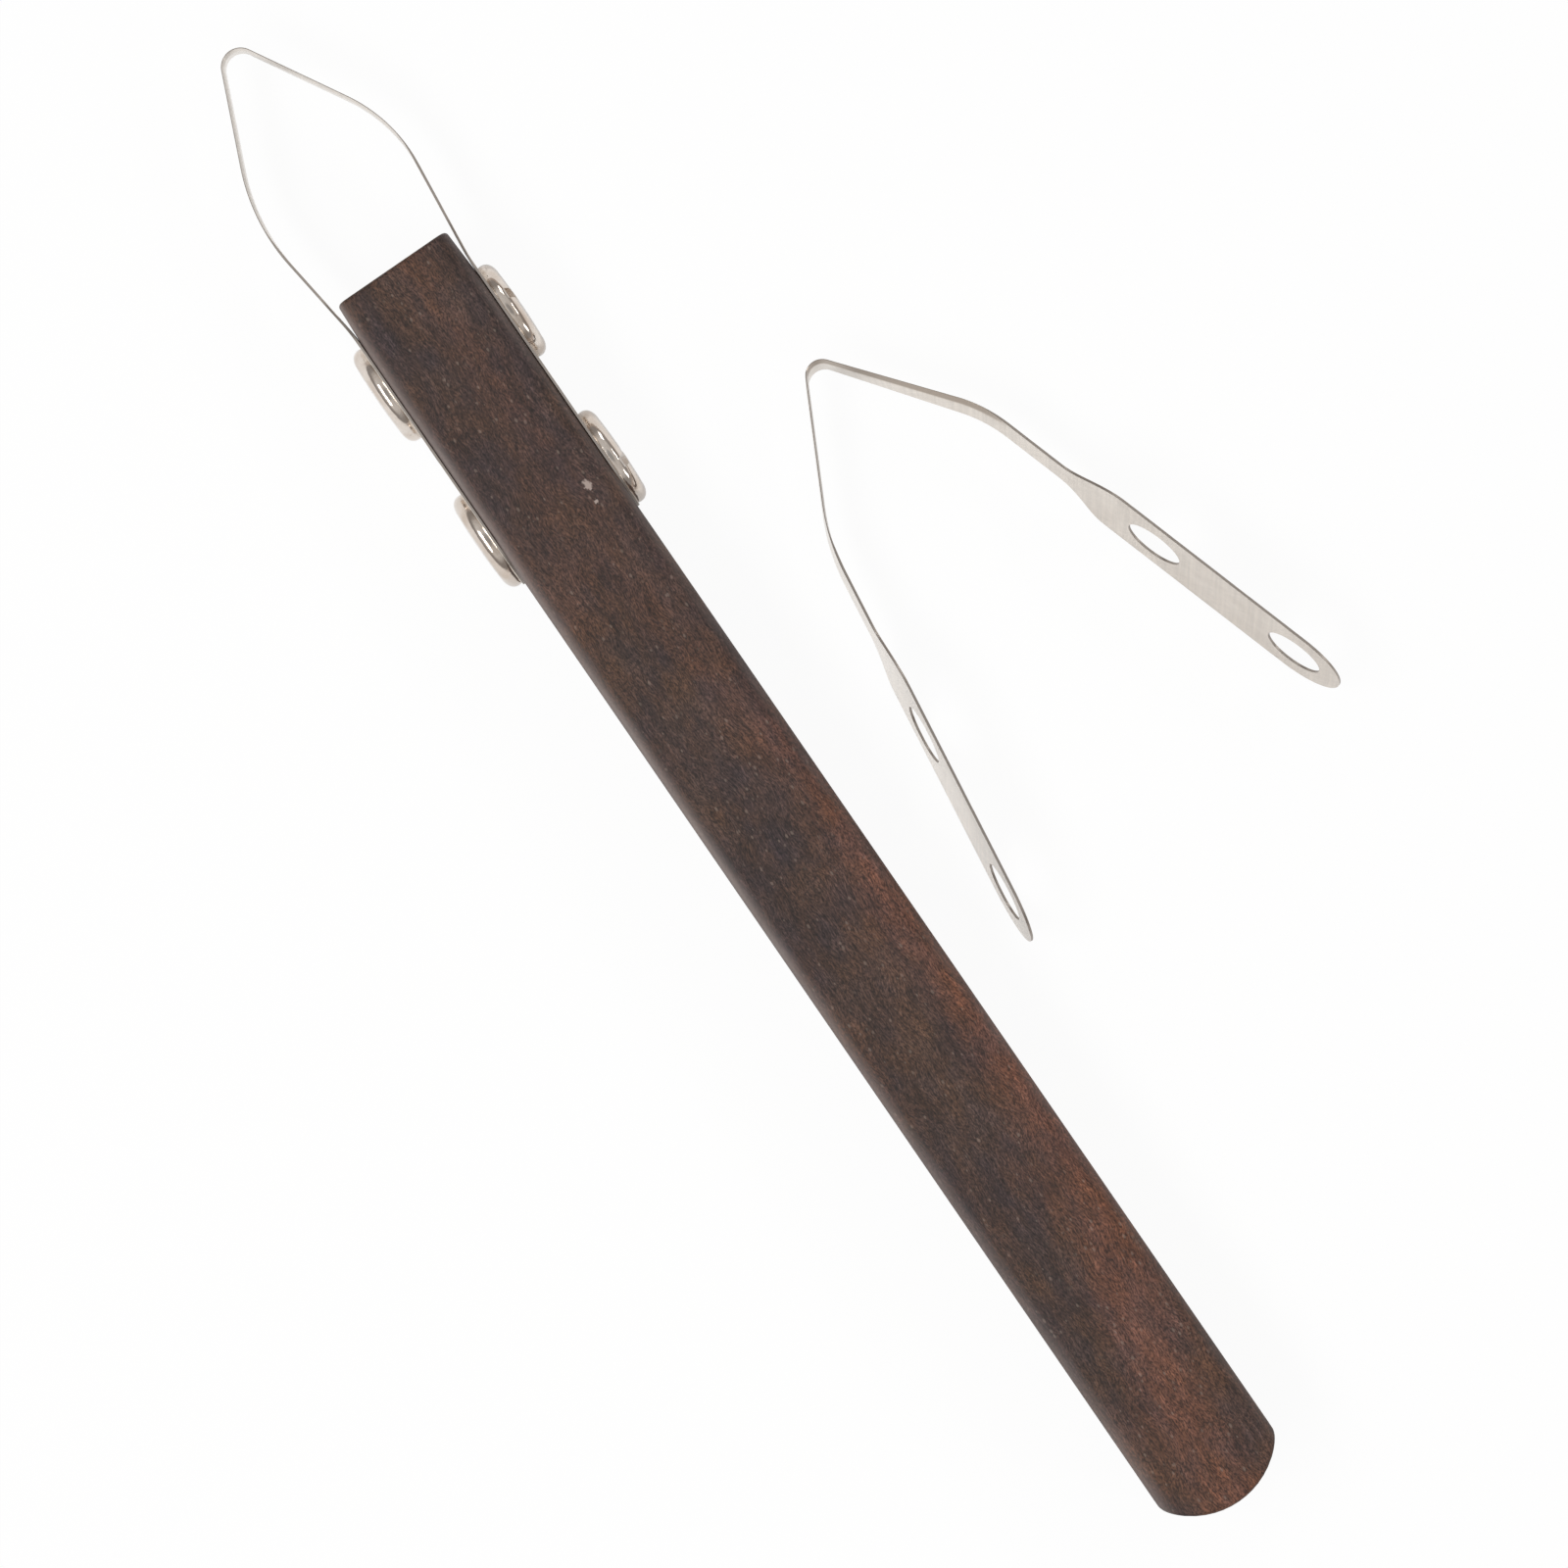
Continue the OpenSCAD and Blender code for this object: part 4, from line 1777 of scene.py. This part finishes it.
@dataclass
class Studio:
    """White sweep, soft boxes and a surround.

    In the surround, left_from gives the values of a direction's Y between which its right side
    turns into its left. Each zone over the low one begins between two values of the Z.
    """

    floor_half: float = 1.5
    floor_drop: float = 0.0001
    floor_white: float = 0.94
    floor_tone: Colour = (0.95, 0.95, 0.95, 1.0)
    white_in_metal: float = 0.38
    soft_boxes: tuple[SoftBox, ...] = (
        SoftBox("left_soft_box", (0.05, 0.5, 0.86), 0.9, (0.8, 0.26), 0.46),
        SoftBox("front_soft_box", (0.7, -0.5, 0.5), 0.9, (0.2, 0.3), 0.05),
        SoftBox("rear_soft_box", (-0.7, -0.5, 0.5), 0.9, (0.2, 0.3), 0.05),
        SoftBox("right_soft_box", (0.0, -0.8, 0.66), 1.0, (0.4, 0.07), 0.04),
    )
    left_from: Point2 = (-0.2, 0.6)
    low_right: Colour = (0.34, 0.26, 0.21, 1.0)
    low_left: Colour = (0.95, 0.95, 0.95, 1.0)
    band_from: Point2 = (0.1, 0.2)
    band: Colour = (0.14, 0.12, 0.11, 1.0)
    high_from: Point2 = (0.4, 0.75)
    high_right: Colour = (0.5, 0.48, 0.46, 1.0)
    high_left: Colour = (0.66, 0.65, 0.64, 1.0)
    overhead_from: Point2 = (0.94, 0.99)
    overhead: Colour = (0.2, 0.2, 0.2, 1.0)

    def floor(self) -> None:
        """Lays a plain white floor that keeps the soft shadow."""
        half = self.floor_half
        z = -self.floor_drop
        mesh = bpy.data.meshes.new("studio_floor")
        corners = [(-half, -half, z), (half, -half, z), (half, half, z), (-half, half, z)]
        mesh.from_pydata(corners, [], [(0, 1, 2, 3)])
        material, graph = new_material("white sweep")
        share = graph.math("MULTIPLY", self.seen(graph, self.white_in_metal), self.floor_white)
        diffuse = graph.add("BsdfDiffuse", {"Color": self.floor_tone})
        white = graph.add("Emission", {"Color": WHITE, "Strength": 1.0})
        total = graph.add("MixShader", {0: share, 1: diffuse.outputs[0], 2: white.outputs[0]})
        graph.add("OutputMaterial", {"Surface": total.outputs[0]})
        mesh.materials.append(material)
        new_object("studio_floor", mesh)

    @staticmethod
    def seen(graph: Graph, in_metal: float) -> Socket:
        """Works out how much of the white background a ray sees.

        Args:
            graph: The graph of the floor or the surround.
            in_metal: The share that metal sees.

        Returns:
            That share for metal, and 1 for the camera and glass.
        """
        path = graph.add("LightPath").outputs
        metal = graph.math("MULTIPLY", path["Is Glossy Ray"], in_metal)
        glass = graph.math("MAXIMUM", metal, path["Is Transmission Ray"])
        return graph.math("MAXIMUM", path["Is Camera Ray"], glass)

    def surround(self) -> None:
        """Sets a white background, and for the tool a room of four zones, one over another.

        The low zone is pale on the left and brown on the right. Over it come a dark band, a
        grey zone and a dark patch overhead.
        """
        world = bpy.data.worlds.new("studio surround")
        world.use_nodes = True
        bpy.context.scene.world = world
        graph = Graph(world.node_tree)
        way = graph.add("SeparateXYZ", {0: graph.add("TexCoord").outputs["Generated"]}).outputs
        left = graph.span(way["Y"], *self.left_from)
        low = graph.blend(left, self.low_right, self.low_left)
        high = graph.blend(left, self.high_right, self.high_left)
        room = graph.blend(graph.span(way["Z"], *self.band_from), low, self.band)
        room = graph.blend(graph.span(way["Z"], *self.high_from), room, high)
        room = graph.blend(graph.span(way["Z"], *self.overhead_from), room, self.overhead)
        shown = graph.blend(self.seen(graph, self.white_in_metal / 2), room, WHITE)
        background = graph.add("Background", {"Color": shown, "Strength": 1.0})
        graph.add("OutputWorld", {"Surface": background.outputs[0]})

    def build(self) -> None:
        """Sets up the floor, the surround and the lamps."""
        self.floor()
        self.surround()
        for soft_box in self.soft_boxes:
            soft_box.hang()
        log.info("studio: floor, surround and %d soft boxes", len(self.soft_boxes))


@dataclass
class PhotoCamera:
    """Camera straight above, turned so that the handle runs from the upper left."""

    place: Point3 = (9.27, -2.895, 716.0)
    focal: float = 175.7
    sensor: float = 36.0
    clip: Point2 = (0.01, 10)
    right: Point2 = (-0.5664, -0.8241)

    def build(self) -> None:
        """Places the camera and makes it the scene's."""
        data = bpy.data.cameras.new("photo_camera")
        data.lens = self.focal
        data.sensor_width = self.sensor
        data.clip_start, data.clip_end = self.clip
        camera = new_object("photo_camera", data)
        right = Vector((*self.right, 0)).normalized()
        back = Vector((0, 0, 1))
        turn = Matrix((right, back.cross(right), back)).transposed().to_4x4()
        camera.matrix_world = Matrix.Translation(Vector(self.place) * MM) @ turn
        bpy.context.scene.camera = camera
        log.info("camera: %.0f mm above the floor", self.place[2])


def main() -> None:
    """Builds and dresses every piece in order."""
    logging.basicConfig(level=logging.INFO, format="%(name)s: %(message)s")
    bpy.context.scene.view_settings.view_transform = "Standard"
    PhotoCamera().build()
    Studio().build()
    shared = SharedEffects.build()
    wood = DarkWood().build(shared)
    steel = StripSteel().build(shared)
    nickel = PolishedNickel().build(shared)
    handle = Handle()
    handle.build(wood)
    blades = BladeSet(handle)
    blades.fitted().build(steel)
    blades.spare().build(steel)
    BindingSet(handle, blades.pad_face_y).build(nickel)


if __name__ == "__main__":
    main()
